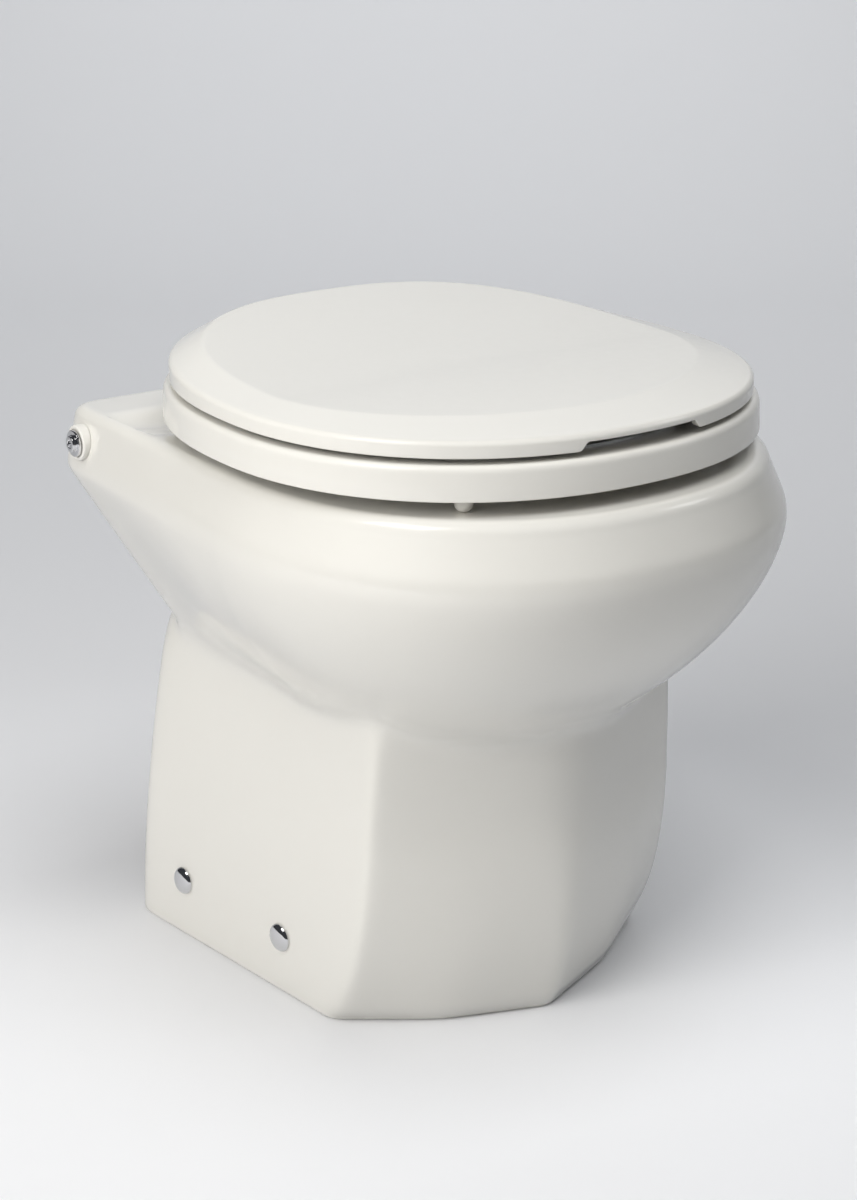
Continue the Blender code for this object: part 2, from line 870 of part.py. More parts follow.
def trough_cutter():
    """Rounded slot between the two cheeks, open behind and above, for the arms of seat and lid."""
    top = rim_height + cut_overrun
    half, low, radius = trough_half_width, trough_floor_height, trough_corner
    outline = arc((half - radius, low + radius), radius, -math.pi / 2, 0, 4)
    outline += [(half, top), (-half, top)]
    outline += arc((-half + radius, low + radius), radius, math.pi, 1.5 * math.pi, 4)
    outline = [(x, -z) for x, z in outline]
    return add_cutter(
        "trough_cutter", *prism(outline, trough_front_y, body_half_depth + cut_overrun), along_y()
    )


def service_cutter():
    """Arched opening through the pedestal's rear wall, down to the floor, for hoses and cables."""
    half, top, radius = service_half_width, service_height, service_corner
    outline = [(half, -cut_overrun)]
    outline += arc((half - radius, top - radius), radius, 0, math.pi / 2, 6)
    outline += arc((-half + radius, top - radius), radius, math.pi / 2, math.pi, 6)
    outline += [(-half, -cut_overrun)]
    outline = [(x, -z) for x, z in outline]
    return add_cutter(
        "service_cutter", *prism(outline, service_front_y, pedestal_rear_y + cut_overrun), along_y()
    )


def panel_point(side, y, height, inset=0.0):
    """Point of the pedestal's side panel, and its outward normal, from the plan outline at two heights."""
    theta = np.radians(np.linspace(-60, 60, outline_samples))

    def panel_x(at_y, at_height):
        radius = outer_radius(theta, at_height)
        return float(np.interp(at_y, plan_centre_y + radius * np.sin(theta), radius * np.cos(theta)))

    step = cap_radius
    along = Vector((panel_x(y + step, height) - panel_x(y - step, height), 2 * step, 0))
    upward = Vector((panel_x(y, height + step) - panel_x(y, height - step), 0, 2 * step))
    normal = along.cross(upward).normalized()
    point = Vector((panel_x(y, height), y, height)) - normal * inset
    if side < 0:
        point.x, normal.x = -point.x, -normal.x
    return point, normal


def facing_frame(point, normal):
    """Frame with local Z along the normal and local Y as near upright as it can be."""
    across = Vector((0, 0, 1)).cross(normal).normalized()
    upward = normal.cross(across)
    turn = Matrix((across, upward, normal)).transposed().to_4x4()
    return Matrix.Translation(point) @ turn


def fixing_frames():
    for side, side_name in ((-1, "left"), (1, "right")):
        for y, end_name in ((fixing_front_y, "front"), (fixing_rear_y, "rear")):
            point, normal = panel_point(side, y, fixing_height)
            yield f"{end_name}_{side_name}", side, facing_frame(point, normal)


def nozzle_place():
    """Where the rinse nozzle crosses the rear wall of the basin, on its inner face."""
    top = rim_skirt_height - rim_skirt_step
    down = (top - nozzle_height) / (top - outlet_top_height)
    shares = np.array(basin_drop_shares)
    inward = float(np.interp(down, shares[:, 1], shares[:, 0]))
    mouth = plan_centre_y + float(basin_plan(np.array([np.pi / 2]), rim_skirt_step)[0])
    return mouth * (1 - inward) + (outlet_y + outlet_bore) * inward


def make_bowl_pedestal():
    theta = plan_angles()
    rings = outer_rings(theta) + rim_rings(theta) + basin_rings(theta) + cavity_rings(theta)
    bowl = add_object("bowl_pedestal", *loft(rings), ceramic())
    combine(bowl, trough_cutter(), "DIFFERENCE")
    combine(bowl, service_cutter(), "DIFFERENCE")
    bore = cylinder_cutter(
        "hinge_bore_cutter",
        bush_radius + seat_gap,
        -body_half_width,
        body_half_width,
        along_x(0, hinge_y, hinge_height),
    )
    combine(bowl, bore, "DIFFERENCE")
    for name, _, frame in fixing_frames():
        hole = cylinder_cutter(
            f"fixing_cutter_{name}",
            screw_hole_radius,
            -wall - cut_overrun,
            cut_overrun,
            frame,
            tube_steps,
        )
        combine(bowl, hole, "DIFFERENCE")
    nozzle = cylinder_cutter(
        "nozzle_cutter",
        nozzle_radius + seat_gap,
        -cut_overrun,
        wall + cut_overrun,
        along_y(0, nozzle_place(), nozzle_height),
    )
    combine(bowl, nozzle, "DIFFERENCE")
    return bowl


def deck_side_x(y, height):
    """Half width of the deck's side wall at a place beside the hinge."""
    theta = np.radians(np.linspace(0, 75, outline_samples))
    radius = bowl_radius(theta, height)
    keep = plan_centre_y + radius * np.sin(theta) <= pedestal_rear_y
    return float(
        np.interp(y, (plan_centre_y + radius * np.sin(theta))[keep], (radius * np.cos(theta))[keep])
    )


def make_hinge_bush(side, name, parent=None):
    """Flanged nylon sleeve in the cheek. The back of its flange follows the slope of the deck's side."""
    wall_x = deck_side_x(hinge_y, hinge_height)
    inner_end = wall_x - bush_length
    bore = rod_radius + seat_gap
    profile = [
        (bore, inner_end),
        (bush_radius, inner_end),
        (bush_radius, wall_x),
        (flange_radius, wall_x),
        (flange_radius, flange_face_x - flange_round),
        (flange_radius - flange_round, flange_face_x),
        (bore, flange_face_x),
    ]
    points, faces = turned(profile, fine_turn_steps, closed=True)
    shaped = []
    for u, v, w in points:
        if w == wall_x:
            w = deck_side_x(hinge_y + side * u, hinge_height + v) + flange_gap
            w = min(w, flange_face_x - flange_round - flange_gap / 2)
        shaped.append((u, v, w))
    place = along_x(0, hinge_y, hinge_height, facing=side)
    return add_object(name, shaped, faces, white_plastic(), place, parent)


def make_hinge():
    rod_end = flange_face_x - rod_overhang
    solid_turned(
        "hinge_rod",
        [(0, -rod_end), (rod_radius, -rod_end), (rod_radius, rod_end), (0, rod_end)],
        steel(),
        along_x(0, hinge_y, hinge_height),
        steps=tube_steps + 2,
    )
    for side, side_name in ((-1, "left"), (1, "right")):
        make_hinge_bush(side, f"hinge_bush_{side_name}")
        start = flange_face_x + seat_gap
        face = start + end_screw_rim
        nose = start + end_screw_nose
        edge = end_screw_rim / 3
        profile = [
            (0, start),
            (end_screw_radius - edge, start),
            (end_screw_radius, start + edge),
            (end_screw_radius - edge, face),
            (end_screw_nose_radius, face - edge),
            (end_screw_nose_radius - edge, nose),
            (end_screw_socket_radius, nose),
            (end_screw_socket_radius, nose - end_screw_socket_depth),
            (0, nose - end_screw_socket_depth),
        ]
        place = along_x(0, hinge_y, hinge_height, facing=side)
        solid_turned(f"hinge_end_screw_{side_name}", profile, chrome(), place, steps=fine_turn_steps)


def lid_outline(angle, spread):
    return superellipse(
        angle,
        lid_half_width + spread,
        lid_front_reach + spread,
        lid_rear_reach + spread,
        lid_front_power,
        lid_rear_power,
        widest_place_y,
    )


def plateau_outline(angle, share):
    x, y = superellipse(
        angle,
        plateau_half_width,
        plateau_front_reach,
        plateau_rear_reach,
        plateau_front_power,
        plateau_rear_power,
        plateau_centre_y,
    )
    return x * share, plateau_centre_y + (y - plateau_centre_y) * share


def lid_lift(y):
    """How much higher the lid's top is at y than at its front: it sweeps up towards the hinge."""
    share = np.maximum(0.0, (y - lid_rise_start_y) / lid_rise_length)
    return lid_rise * share**lid_rise_power


def lid_rings(angle):
    """Top rings from the skirt's foot inwards, then underside rings from the middle outwards."""
    edge_x, edge_y = lid_outline(angle, 0.0)
    round_x, round_y = lid_outline(angle, -lid_edge_round)
    flat_x, flat_y = plateau_outline(angle, 1.0)
    wall_top = lid_edge_height + lid_wall_height

    def ring(x, y, height):
        return np.stack([x, y, np.broadcast_to(height, x.shape)], axis=-1)

    def between(share, drop, crown):
        x = round_x + (flat_x - round_x) * share
        y = round_y + (flat_y - round_y) * share
        low = wall_top + lid_edge_round + lid_lift(round_y) * lid_wall_rise_share
        high = plateau_height + lid_lift(flat_y)
        return ring(x, y, low + (high - low) * share + crown - drop)

    def inside(share, drop):
        x, y = plateau_outline(angle, share)
        return ring(x, y, plateau_height + lid_lift(y) - drop)

    inner_x, inner_y = lid_outline(angle, -lid_skirt)
    top = [
        ring(edge_x, edge_y, lid_edge_height),
        ring(edge_x, edge_y, wall_top + lid_lift(edge_y) * lid_wall_rise_share),
        between(0.0, 0.0, 0.0),
        between(0.5, 0.0, lid_bevel_crown),
        between(0.95, 0.0, 0.0),
        inside(1 - plateau_edge_round / plateau_half_width, 0.0),
        inside(0.62, 0.0),
        inside(0.28, 0.0),
    ]
    underside = [
        inside(0.28, lid_skin),
        inside(0.62, lid_skin),
        inside(0.95, lid_skin),
        between(0.5, lid_skin, 0.0),
        ring(inner_x, inner_y, lid_edge_height + notch_height + lid_lift(inner_y) * lid_wall_rise_share),
        ring(inner_x, inner_y, lid_edge_height),
    ]
    return top, underside


def lid_shell(angle):
    """The lid as one closed skin: top and underside fans, joined at the skirt's foot."""
    top, underside = lid_rings(angle)
    return loft([*underside, *top], closed=False, poles=True)


def notch_cutter():
    """Finger notch in the front skirt, with slanted ends."""
    low = lid_edge_height - cut_overrun
    high = lid_edge_height + notch_height
    wide = notch_half_width
    spread = notch_slant * cut_overrun / notch_height
    outline = [
        (-wide - spread, low),
        (wide + spread, low),
        (wide - notch_slant, high),
        (-wide + notch_slant, high),
    ]
    outline = [(x, -z) for x, z in outline]
    front = widest_place_y - lid_front_reach
    return add_cutter("notch_cutter", *prism(outline, front - cut_overrun, front + notch_depth), along_y())


def lid_underside(x, y):
    """Height of the lid's underside over a place inside the plateau."""
    return plateau_height + float(lid_lift(np.float64(y))) - lid_skin


def make_lid(pivot):
    lid = add_object("lid_cover", *lid_shell(plan_angles()), seat_plastic(), parent=pivot)
    combine(lid, notch_cutter(), "DIFFERENCE")
    for side, side_name in ((-1, "left"), (1, "right")):
        make_lid_arm(side * lid_arm_x, f"lid_hinge_arm_{side_name}", pivot)
        for x, y, end_name in (
            (lid_bumper_front_x, lid_bumper_front_y, "front"),
            (lid_bumper_rear_x, lid_bumper_rear_y, "rear"),
        ):
            top = lid_underside(x, y - lid_bumper_radius) - seat_gap
            foot = seat_surface(x, y) + seat_gap
            name = f"lid_bumper_{end_name}_{side_name}"
            make_bumper(name, side * x, y, foot, top, lid_bumper_radius, pivot)
    return lid


def make_bumper(name, x, y, foot, top, radius, pivot):
    """Moulded stud with a domed foot."""
    dome = radius * bumper_dome_share
    profile = [
        (0, foot),
        (radius * 0.72, foot + dome * 0.3),
        (radius, foot + dome),
        (radius, top - bumper_root),
        (radius + bumper_root / 4, top),
        (0, top),
    ]
    solid_turned(name, profile, white_plastic(), along_z(x, y), steps=tube_steps, parent=pivot)


def arm_object(name, outline, centre_x, pivot):
    """Arm cut from plate: its outline of (y, z) carried across its width, with the rod's hole in the eye."""
    half = arm_width / 2
    turn = Matrix(((0, 0, 1), (1, 0, 0), (0, 1, 0))).to_4x4()
    place = Matrix.Translation((centre_x, 0, 0)) @ turn
    arm = add_object(name, *prism(outline, -half, half), seat_plastic(), place, pivot)
    hole = cylinder_cutter(
        f"{name}_cutter",
        clear_radius(rod_radius, run_gap, turn_steps),
        -half - cut_overrun,
        half + cut_overrun,
        along_x(centre_x, hinge_y, hinge_height),
    )
    hole.parent = pivot
    hole.matrix_parent_inverse = pivot.matrix_world.inverted()
    return combine(arm, hole, "DIFFERENCE")


def make_seat_arm(centre_x, name, pivot):
    """From a foot in the seat's hollow underside, under its rear skirt and down into the trough."""
    hollow = seat_edge_height + seat_recess - seat_gap
    under_skirt = seat_edge_height - 2 * seat_gap
    low = under_skirt - seat_arm_foot
    rear = seat_rear_y
    skirt_inside = rear - seat_skirt - seat_arm_foot_rear / 4
    eye = arc((hinge_y, hinge_height), eye_radius, math.radians(40), math.radians(-160), 8)
    outline = [
        (arm_front_y, low),
        (arm_front_y, hollow),
        (skirt_inside, hollow),
        (skirt_inside, under_skirt),
        (rear + seat_arm_foot_rear, under_skirt),
        *eye,
        (rear + seat_arm_foot_rear / 4, low),
    ]
    return arm_object(name, outline[::-1], centre_x, pivot)


def make_lid_arm(centre_x, name, pivot):
    """From a foot under the lid, down behind the seat in a strap to the rod."""
    front = arm_front_y
    strap_front = seat_rear_y + lid_arm_clear
    strap_rear = strap_front + lid_arm_strap
    top_front = lid_underside(centre_x, front) - 2 * seat_gap
    bend = strap_front - 2 * lid_arm_foot
    top_rear = lid_underside(centre_x, bend) - 2 * seat_gap
    low = top_front - lid_arm_foot
    eye = arc((hinge_y, hinge_height), eye_radius, math.radians(75), math.radians(-165), 9)
    outline = [
        (front, low),
        (front, top_front),
        (bend, top_rear),
        (strap_front, top_rear - lid_arm_foot),
        (strap_rear, top_rear - 2 * lid_arm_foot),
        (strap_rear, hinge_height + 2 * eye_radius),
        *eye,
        (strap_front, hinge_height + 2 * eye_radius),
        (strap_front, low - lid_arm_foot),
        (strap_front - lid_arm_foot, low),
    ]
    return arm_object(name, outline[::-1], centre_x, pivot)


def seat_outline(angle, spread):
    """The lid's outline with an overhang, cut off straight in front of the hinge."""
    x, y = lid_outline(angle, seat_overhang + spread)
    end = seat_rear_y + spread
    near = np.maximum(seat_rear_corner - np.abs(y - end), 0.0)
    return x, np.minimum(y, end) - near**2 / (4 * seat_rear_corner)


def opening_outline(angle, spread):
    return superellipse(
        angle,
        opening_half_width + spread,
        opening_front_reach + spread,
        opening_rear_reach + spread,
        opening_power,
        opening_power,
        opening_centre_y,
    )


def seat_drop(share):
    """How far the seat's top lies below its crown, across its width from outside (0) to inside (1)."""
    return seat_dish * share**seat_dish_power


def seat_surface(x, y):
    """Height of the seat's top over a place, from how far across the ring it lies."""
    angle = np.linspace(-np.pi, np.pi, outline_samples)
    outer = np.stack(seat_outline(angle, -seat_edge_round), axis=-1)
    inner = np.stack(opening_outline(angle, seat_inner_round), axis=-1)
    spread = np.linspace(0, 1, turn_steps)[:, None, None]
    across = outer[None] * (1 - spread) + inner[None] * spread
    distance = np.hypot(across[..., 0] - x, across[..., 1] - y)
    share = np.unravel_index(distance.argmin(), distance.shape)[0] / (turn_steps - 1)
    return seat_top_height - seat_drop(share)


def seat_rings(angle):
    """Section of the ring seat: skirt, rounded edge, dished top, inner edge and hollow underside."""

    def ring(outline, height):
        x, y = outline
        return np.stack([x, y, np.broadcast_to(height, x.shape)], axis=-1)

    def across(share, height):
        outer = ring(seat_outline(angle, -seat_edge_round), height)
        inner = ring(opening_outline(angle, seat_inner_round), height)
        return outer * (1 - share) + inner * share

    hollow = seat_edge_height + seat_recess
    inner_top = seat_top_height - seat_drop(1.0)
    edge_step = seat_edge_round * 0.3
    return [
        ring(seat_outline(angle, 0.0), seat_edge_height),
        ring(seat_outline(angle, -seat_wall_taper), seat_top_height - seat_edge_round),
        ring(seat_outline(angle, -seat_wall_taper - edge_step), seat_top_height - edge_step),
        across(0.0, seat_top_height),
        across(0.5, seat_top_height - seat_drop(0.5)),
        across(1.0, inner_top),
        ring(opening_outline(angle, 0.0), inner_top - seat_inner_round),
        ring(opening_outline(angle, 0.0), seat_edge_height + seat_inner_round),
        ring(opening_outline(angle, seat_inner_round), seat_edge_height + seat_inner_round / 2),
        ring(opening_outline(angle, 2 * seat_inner_round), hollow),
        ring(seat_outline(angle, -seat_skirt), hollow),
        ring(seat_outline(angle, -seat_skirt + seat_wall_taper), seat_edge_height),
    ]


def make_seat(pivot):
    seat = add_object("seat_ring", *loft(seat_rings(plan_angles())), seat_plastic(), parent=pivot)
    for side, side_name in ((-1, "left"), (1, "right")):
        make_seat_arm(side * seat_arm_x, f"seat_hinge_arm_{side_name}", pivot)
        for angle, end_name in ((seat_bumper_front_angle, "front"), (seat_bumper_rear_angle, "rear")):
            x, y = seat_outline(np.array([angle]), -seat_bumper_inset)
            x, y = abs(float(x[0])) * side, float(y[0])
            top = seat_edge_height + seat_recess - seat_gap
            foot = rim_height + seat_gap
            make_bumper(f"seat_bumper_{end_name}_{side_name}", x, y, foot, top, seat_bumper_radius, pivot)
    return seat


def make_fixings():
    """Chrome caps over the side screws, which go through the panel into the floor brackets."""
    for name, _, frame in fixing_frames():
        base = seat_gap
        head_top = base + screw_head
        profile = [
            (0, base + cap_hollow),
            (cap_hollow_radius, base + cap_hollow),
            (cap_hollow_radius, base),
            (cap_radius, base),
            (cap_radius, base + cap_height * 0.25),
            (cap_radius * 0.78, base + cap_height * 0.72),
            (0, base + cap_height),
        ]
        solid_turned(f"screw_cap_{name}", profile, chrome(), frame)
        tail = -wall - bracket_wall_gap - bracket_thickness - screw_tail
        profile = [
            (0, tail),
            (screw_radius, tail + screw_radius / 2),
            (screw_radius, base),
            (screw_head_radius, base),
            (screw_head_radius * 0.8, head_top),
            (0, head_top),
        ]
        solid_turned(f"side_screw_{name}", profile, steel(), frame, steps=tube_steps)


def make_floor_bracket(side, side_name):
    """Angle bracket: its flange follows the inside of the side panel, and its shelf screws to the floor."""
    front, front_normal = panel_point(side, fixing_front_y - bracket_end, fixing_height, wall)
    rear, _ = panel_point(side, fixing_rear_y + bracket_end, fixing_height, wall)
    along = rear - front
    along.z = 0
    length = along.length
    along.normalize()
    across = Vector((along.y, -along.x, 0)) * side
    normal = (front_normal - along * front_normal.dot(along)).normalized()
    lean = -normal.z / math.hypot(normal.x, normal.y)
    thick = bracket_thickness
    base = seat_gap

    def wall_line(height):
        return lean * (height - fixing_height) - bracket_wall_gap

    outline = [
        (wall_line(base) - bracket_shelf, base),
        (wall_line(base), base),
        (wall_line(bracket_height), bracket_height),
        (wall_line(bracket_height) - thick, bracket_height),
        (wall_line(base + thick) - thick, base + thick),
        (wall_line(base) - bracket_shelf, base + thick),
    ]
    turn = Matrix((across, Vector((0, 0, 1)), along * -side)).transposed()
    start, end = sorted((0.0, -side * length))
    origin = Vector((front.x, front.y, 0))
    place = Matrix.Translation(origin) @ turn.to_4x4()
    bracket = add_object(f"floor_bracket_{side_name}", *prism(outline, start, end), steel(), place)
    for name, hole_side, frame in fixing_frames():
        if hole_side == side:
            reach = -wall - thick - cut_overrun * 2
            hole = cylinder_cutter(
                f"bracket_cutter_{name}", screw_hole_radius, reach, -wall / 2, frame, tube_steps
            )
            combine(bracket, hole, "DIFFERENCE")
    for share, end_name in ((0.2, "front"), (0.8, "rear")):
        spot = origin + along * length * share - across * bracket_shelf * 0.6
        hole = cylinder_cutter(
            f"shelf_cutter_{side_name}_{end_name}",
            bracket_slot_radius,
            -cut_overrun,
            thick + cut_overrun,
            along_z(spot.x, spot.y),
            tube_steps,
        )
        combine(bracket, hole, "DIFFERENCE")
    return bracket


def pump_frame():
    return along_x(0, pump_y, pump_height)


def funnel(name, rings):
    """Stack of upright circles of (middle x, radius, height), as a cutter."""
    steps = fine_turn_steps
    angle = np.linspace(0, 2 * np.pi, steps, endpoint=False) + np.pi / steps
    shape = []
    for x, radius, z in rings:
        across, along = x + radius * np.cos(angle), outlet_y + radius * np.sin(angle)
        shape.append(np.stack([across, along, np.full(steps, z)], axis=-1))
    return add_cutter(name, *loft(shape, closed=False, poles=True))


def make_intake():
    """Gasket under the bowl's spigot, and the intake chamber: a cup lying on its side with a neck on top."""
    spigot = outlet_bore + outlet_wall
    top = outlet_bottom_height - seat_gap
    low = top - gasket_thickness
    ring_turned(
        "outlet_gasket",
        [(outlet_bore, low), (spigot, low), (spigot, top), (outlet_bore, top)],
        rubber(),
        along_z(0, outlet_y),
        steps=fine_turn_steps,
    )
    flange_top = low - seat_gap
    flange_low = flange_top - neck_flange
    inner_end = chamber_end_x - chamber_wall
    cup = [
        (0, chamber_end_x),
        (chamber_radius - chamber_wall, chamber_end_x),
        (chamber_radius, chamber_end_x - chamber_wall),
        (chamber_radius, pump_split_x + pump_flange),
        (pump_flange_radius, pump_split_x + pump_flange),
        (pump_flange_radius, pump_split_x),
        (0, pump_split_x),
    ]
    chamber = solid_turned("intake_chamber", cup[::-1], pump_plastic(), pump_frame(), steps=fine_turn_steps)
    neck = [
        (throat_x, throat_radius, pump_height + chamber_bore * 0.31),
        (throat_x, throat_radius, throat_height),
        (0, neck_radius, flange_low),
        (0, spigot, flange_low),
        (0, spigot, flange_top),
    ]
    combine(chamber, funnel("neck_solid", neck), "UNION")
    bore = cylinder_cutter(
        "chamber_bore_cutter",
        chamber_bore,
        pump_split_x - cut_overrun,
        inner_end,
        pump_frame(),
        fine_turn_steps,
    )
    combine(chamber, bore, "DIFFERENCE")
    neck = [
        (throat_x, throat_radius - neck_wall, pump_height + chamber_bore * 0.27),
        (throat_x, throat_radius - neck_wall, throat_height),
        (0, neck_radius - neck_wall, flange_low),
        (0, neck_radius - neck_wall, flange_top + cut_overrun),
    ]
    combine(chamber, funnel("neck_bore_cutter", neck), "DIFFERENCE")


def pump_stations():
    """Places along the pump's axis, from the intake towards the motor's far end."""
    plate_front = pump_split_x - seat_gap
    plate_back = plate_front - wear_plate_thickness
    volute_front = plate_back - seat_gap
    volute_inner = volute_front - volute_depth
    volute_back_face = volute_inner - volute_back
    lantern_end = volute_back_face - lantern_length
    motor_front = lantern_end - seat_gap
    motor_back = motor_front - motor_length
    cap_front = motor_back - seat_gap
    cap_back = cap_front - motor_end_length
    return {
        "plate_front": plate_front,
        "plate_back": plate_back,
        "volute_front": volute_front,
        "volute_inner": volute_inner,
        "volute_back": volute_back_face,
        "lantern_end": lantern_end,
        "motor_front": motor_front,
        "motor_back": motor_back,
        "cap_front": cap_front,
        "cap_back": cap_back,
    }


def make_pump_casing():
    at = pump_stations()
    plate = volute_radius - wear_plate_inset
    ring_turned(
        "wear_plate",
        [
            (wear_plate_hole, at["plate_back"]),
            (plate, at["plate_back"]),
            (plate, at["plate_front"]),
            (wear_plate_hole, at["plate_front"]),
        ],
        steel(),
        pump_frame(),
        steps=fine_turn_steps,
    )
    seal_hole = seal_radius + seat_gap
    lantern_inside = lantern_radius - lantern_wall
    body = [
        (volute_bore, at["volute_front"]),
        (volute_bore, at["volute_inner"]),
        (seal_hole, at["volute_inner"]),
        (seal_hole, at["volute_back"]),
        (lantern_inside, at["volute_back"]),
        (lantern_inside, at["lantern_end"]),
        (lantern_radius, at["lantern_end"]),
        (lantern_radius, at["volute_back"]),
        (volute_radius, at["volute_back"]),
        (volute_radius, at["volute_front"]),
    ]
    volute = ring_turned("macerator_housing", body, pump_plastic(), pump_frame(), steps=fine_turn_steps)
    flange_start = outlet_neck_end_y - outlet_flange
    neck = [
        (0, outlet_neck_start_y),
        (outlet_neck_radius, outlet_neck_start_y),
        (outlet_neck_radius, flange_start),
        (outlet_flange_radius, flange_start),
        (outlet_flange_radius, outlet_neck_end_y),
        (0, outlet_neck_end_y),
    ]
    place = along_y(outlet_neck_x, 0, pump_height)
    combine(volute, add_cutter("outlet_neck_solid", *turned(neck), place), "UNION")
    bore_start = pump_y + volute_bore * 0.8
    bore_end = outlet_neck_end_y + cut_overrun
    neck_bore = cylinder_cutter("outlet_bore_cutter", outlet_neck_bore, bore_start, bore_end, place)
    combine(volute, neck_bore, "DIFFERENCE")
    bore = clear_radius(shaft_radius, seal_gap, turn_steps)
    low, high = at["volute_back"] + seat_gap, at["volute_inner"] - seat_gap
    seal = [(bore, high), (bore, low), (seal_radius, low), (seal_radius, high)]
    ring_turned("shaft_seal", seal, rubber(), pump_frame())


def make_motor():
    """Steel can with two magnets inside, closed by an end cap with the bearing boss and a cable gland."""
    at = pump_stations()
    bore = clear_radius(shaft_radius, run_gap, fine_turn_steps)
    can_inside = motor_radius - motor_wall
    front = at["motor_front"]
    ring_turned(
        "motor_can",
        [
            (bore, front),
            (motor_radius - motor_wall / 2, front),
            (motor_radius, front - motor_wall / 2),
            (motor_radius, at["motor_back"]),
            (can_inside, at["motor_back"]),
            (can_inside, front - motor_wall),
            (bore, front - motor_wall),
        ],
        motor_paint(),
        pump_frame(),
        steps=fine_turn_steps,
    )
    rim = motor_radius
    cap = ring_turned(
        "motor_end_cap",
        [
            (bore, at["cap_front"]),
            (rim, at["cap_front"]),
            (rim, at["cap_front"] - motor_end_length / 2),
            (rim - motor_end_length / 2, at["cap_back"]),
            (motor_end_hub, at["cap_back"]),
            (bore, at["cap_back"]),
        ],
        pump_plastic(),
        pump_frame(),
        steps=fine_turn_steps,
    )
    gland_low = pump_height + rim * 0.55
    gland = [
        (0, gland_low),
        (motor_end_length * 0.42, gland_low),
        (motor_end_length * 0.42, pump_height + rim * 1.1),
        (motor_end_length * 0.3, pump_height + rim * 1.3),
        (0, pump_height + rim * 1.3),
    ]
    middle = at["cap_front"] - motor_end_length * 0.5
    combine(cap, add_cutter("gland_solid", *turned(gland, tube_steps), along_z(middle, pump_y)), "UNION")
    outside = can_inside * math.cos(math.pi / fine_turn_steps) - seat_gap
    inside = outside - magnet_thickness
    magnet_front = front - motor_wall - motor_wall
    magnet_back = at["motor_back"] + motor_wall
    for side, side_name in ((0, "front"), (math.pi, "rear")):
        outline = arc((0, 0), outside, side - magnet_half_angle, side + magnet_half_angle, 8)
        outline += arc((0, 0), inside, side + magnet_half_angle, side - magnet_half_angle, 8)
        magnet = prism(outline, magnet_back, magnet_front)
        add_object(f"motor_magnet_{side_name}", *magnet, motor_paint(), pump_frame())


def make_rotor(pivot):
    """Everything that spins: shaft, armature, impeller and chopper blade."""
    at = pump_stations()
    nose = pump_split_x + chopper_thickness + shaft_nose
    tail = at["cap_back"] + motor_end_length / 3
    profile = [
        (0, tail),
        (shaft_radius, tail),
        (shaft_radius, nose - shaft_radius / 2),
        (shaft_radius / 2, nose),
        (0, nose),
    ]
    solid_turned("rotor_shaft", profile, steel(), pump_frame(), steps=tube_steps + 2, parent=pivot)
    bore = shaft_radius + seat_gap
    middle = (at["motor_front"] + at["motor_back"]) / 2
    outline = []
    for k in range(armature_slots):
        centre = 2 * math.pi * (k + 0.5) / armature_slots
        half = math.pi / armature_slots - armature_slot / armature_radius / 2
        deep = armature_radius - 1.5 * armature_slot
        outline += arc((0, 0), armature_radius, centre - half, centre + half, 2)
        after = 2 * math.pi * (k + 1) / armature_slots
        spread = armature_slot / armature_radius / 3
        outline += arc((0, 0), deep, after - spread, after + spread, 1)
    armature = add_object(
        "motor_armature",
        *prism(outline, middle - armature_length / 2, middle + armature_length / 2),
        steel(),
        pump_frame(),
        pivot,
    )
    start, end = middle - armature_length, middle + armature_length
    hole = cylinder_cutter("armature_cutter", bore, start, end, pump_frame(), tube_steps)
    combine(armature, hole, "DIFFERENCE")
    make_impeller(pivot, at, bore)
    make_chopper(pivot, bore)


def make_impeller(pivot, at, bore):
    """Disc and hub with swept vanes."""
    back = at["volute_inner"] + impeller_gap
    disc = back + impeller_disc
    front = at["volute_front"] - impeller_gap
    profile = [
        (bore, back),
        (impeller_radius, back),
        (impeller_radius, disc),
        (impeller_hub, disc),
        (impeller_hub, front),
        (bore, front),
    ]
    impeller = ring_turned("impeller", profile, pump_plastic(), pump_frame(), parent=pivot)
    inner = impeller_hub * 0.8
    outer = impeller_radius * 0.97
    for k in range(impeller_vanes):
        start = 2 * math.pi * k / impeller_vanes
        left, right = [], []
        for share in (0.0, 0.5, 1.0):
            radius = inner + (outer - inner) * share
            angle = start + impeller_sweep * share
            half = impeller_vane / radius / 2
            left.append((radius * math.cos(angle - half), radius * math.sin(angle - half)))
            right.append((radius * math.cos(angle + half), radius * math.sin(angle + half)))
        vane = prism(left + right[::-1], disc - impeller_disc / 2, front)
        vane = add_cutter(f"vane_solid_{k}", *vane, pump_frame())
        combine(impeller, vane, "UNION")
    return impeller


def make_chopper(pivot, bore):
    """Two-armed blade with bevelled leading edges, in front of the wear plate."""
    low = pump_split_x + chopper_gap
    high = low + chopper_thickness
    half = chopper_width / 2
    hub = bore + half
    outline = []
    for turn in (0, math.pi):
        cos, sin = math.cos(turn), math.sin(turn)
        tip = chopper_radius
        arm = [(hub, -half), (tip, -half * 0.5), (tip * 0.97, half * 0.6), (hub, half)]
        outline += [(u * cos - v * sin, u * sin + v * cos) for u, v in arm]
        mid = turn + math.pi / 2
        outline.append((hub * math.cos(mid), hub * math.sin(mid)))
    blade = add_object("chopper_blade", *prism(outline, low, high), steel(), pump_frame(), pivot)
    start, end = low - cut_overrun, high + cut_overrun
    hole = cylinder_cutter("chopper_cutter", bore, start, end, pump_frame(), tube_steps)
    return combine(blade, hole, "DIFFERENCE")


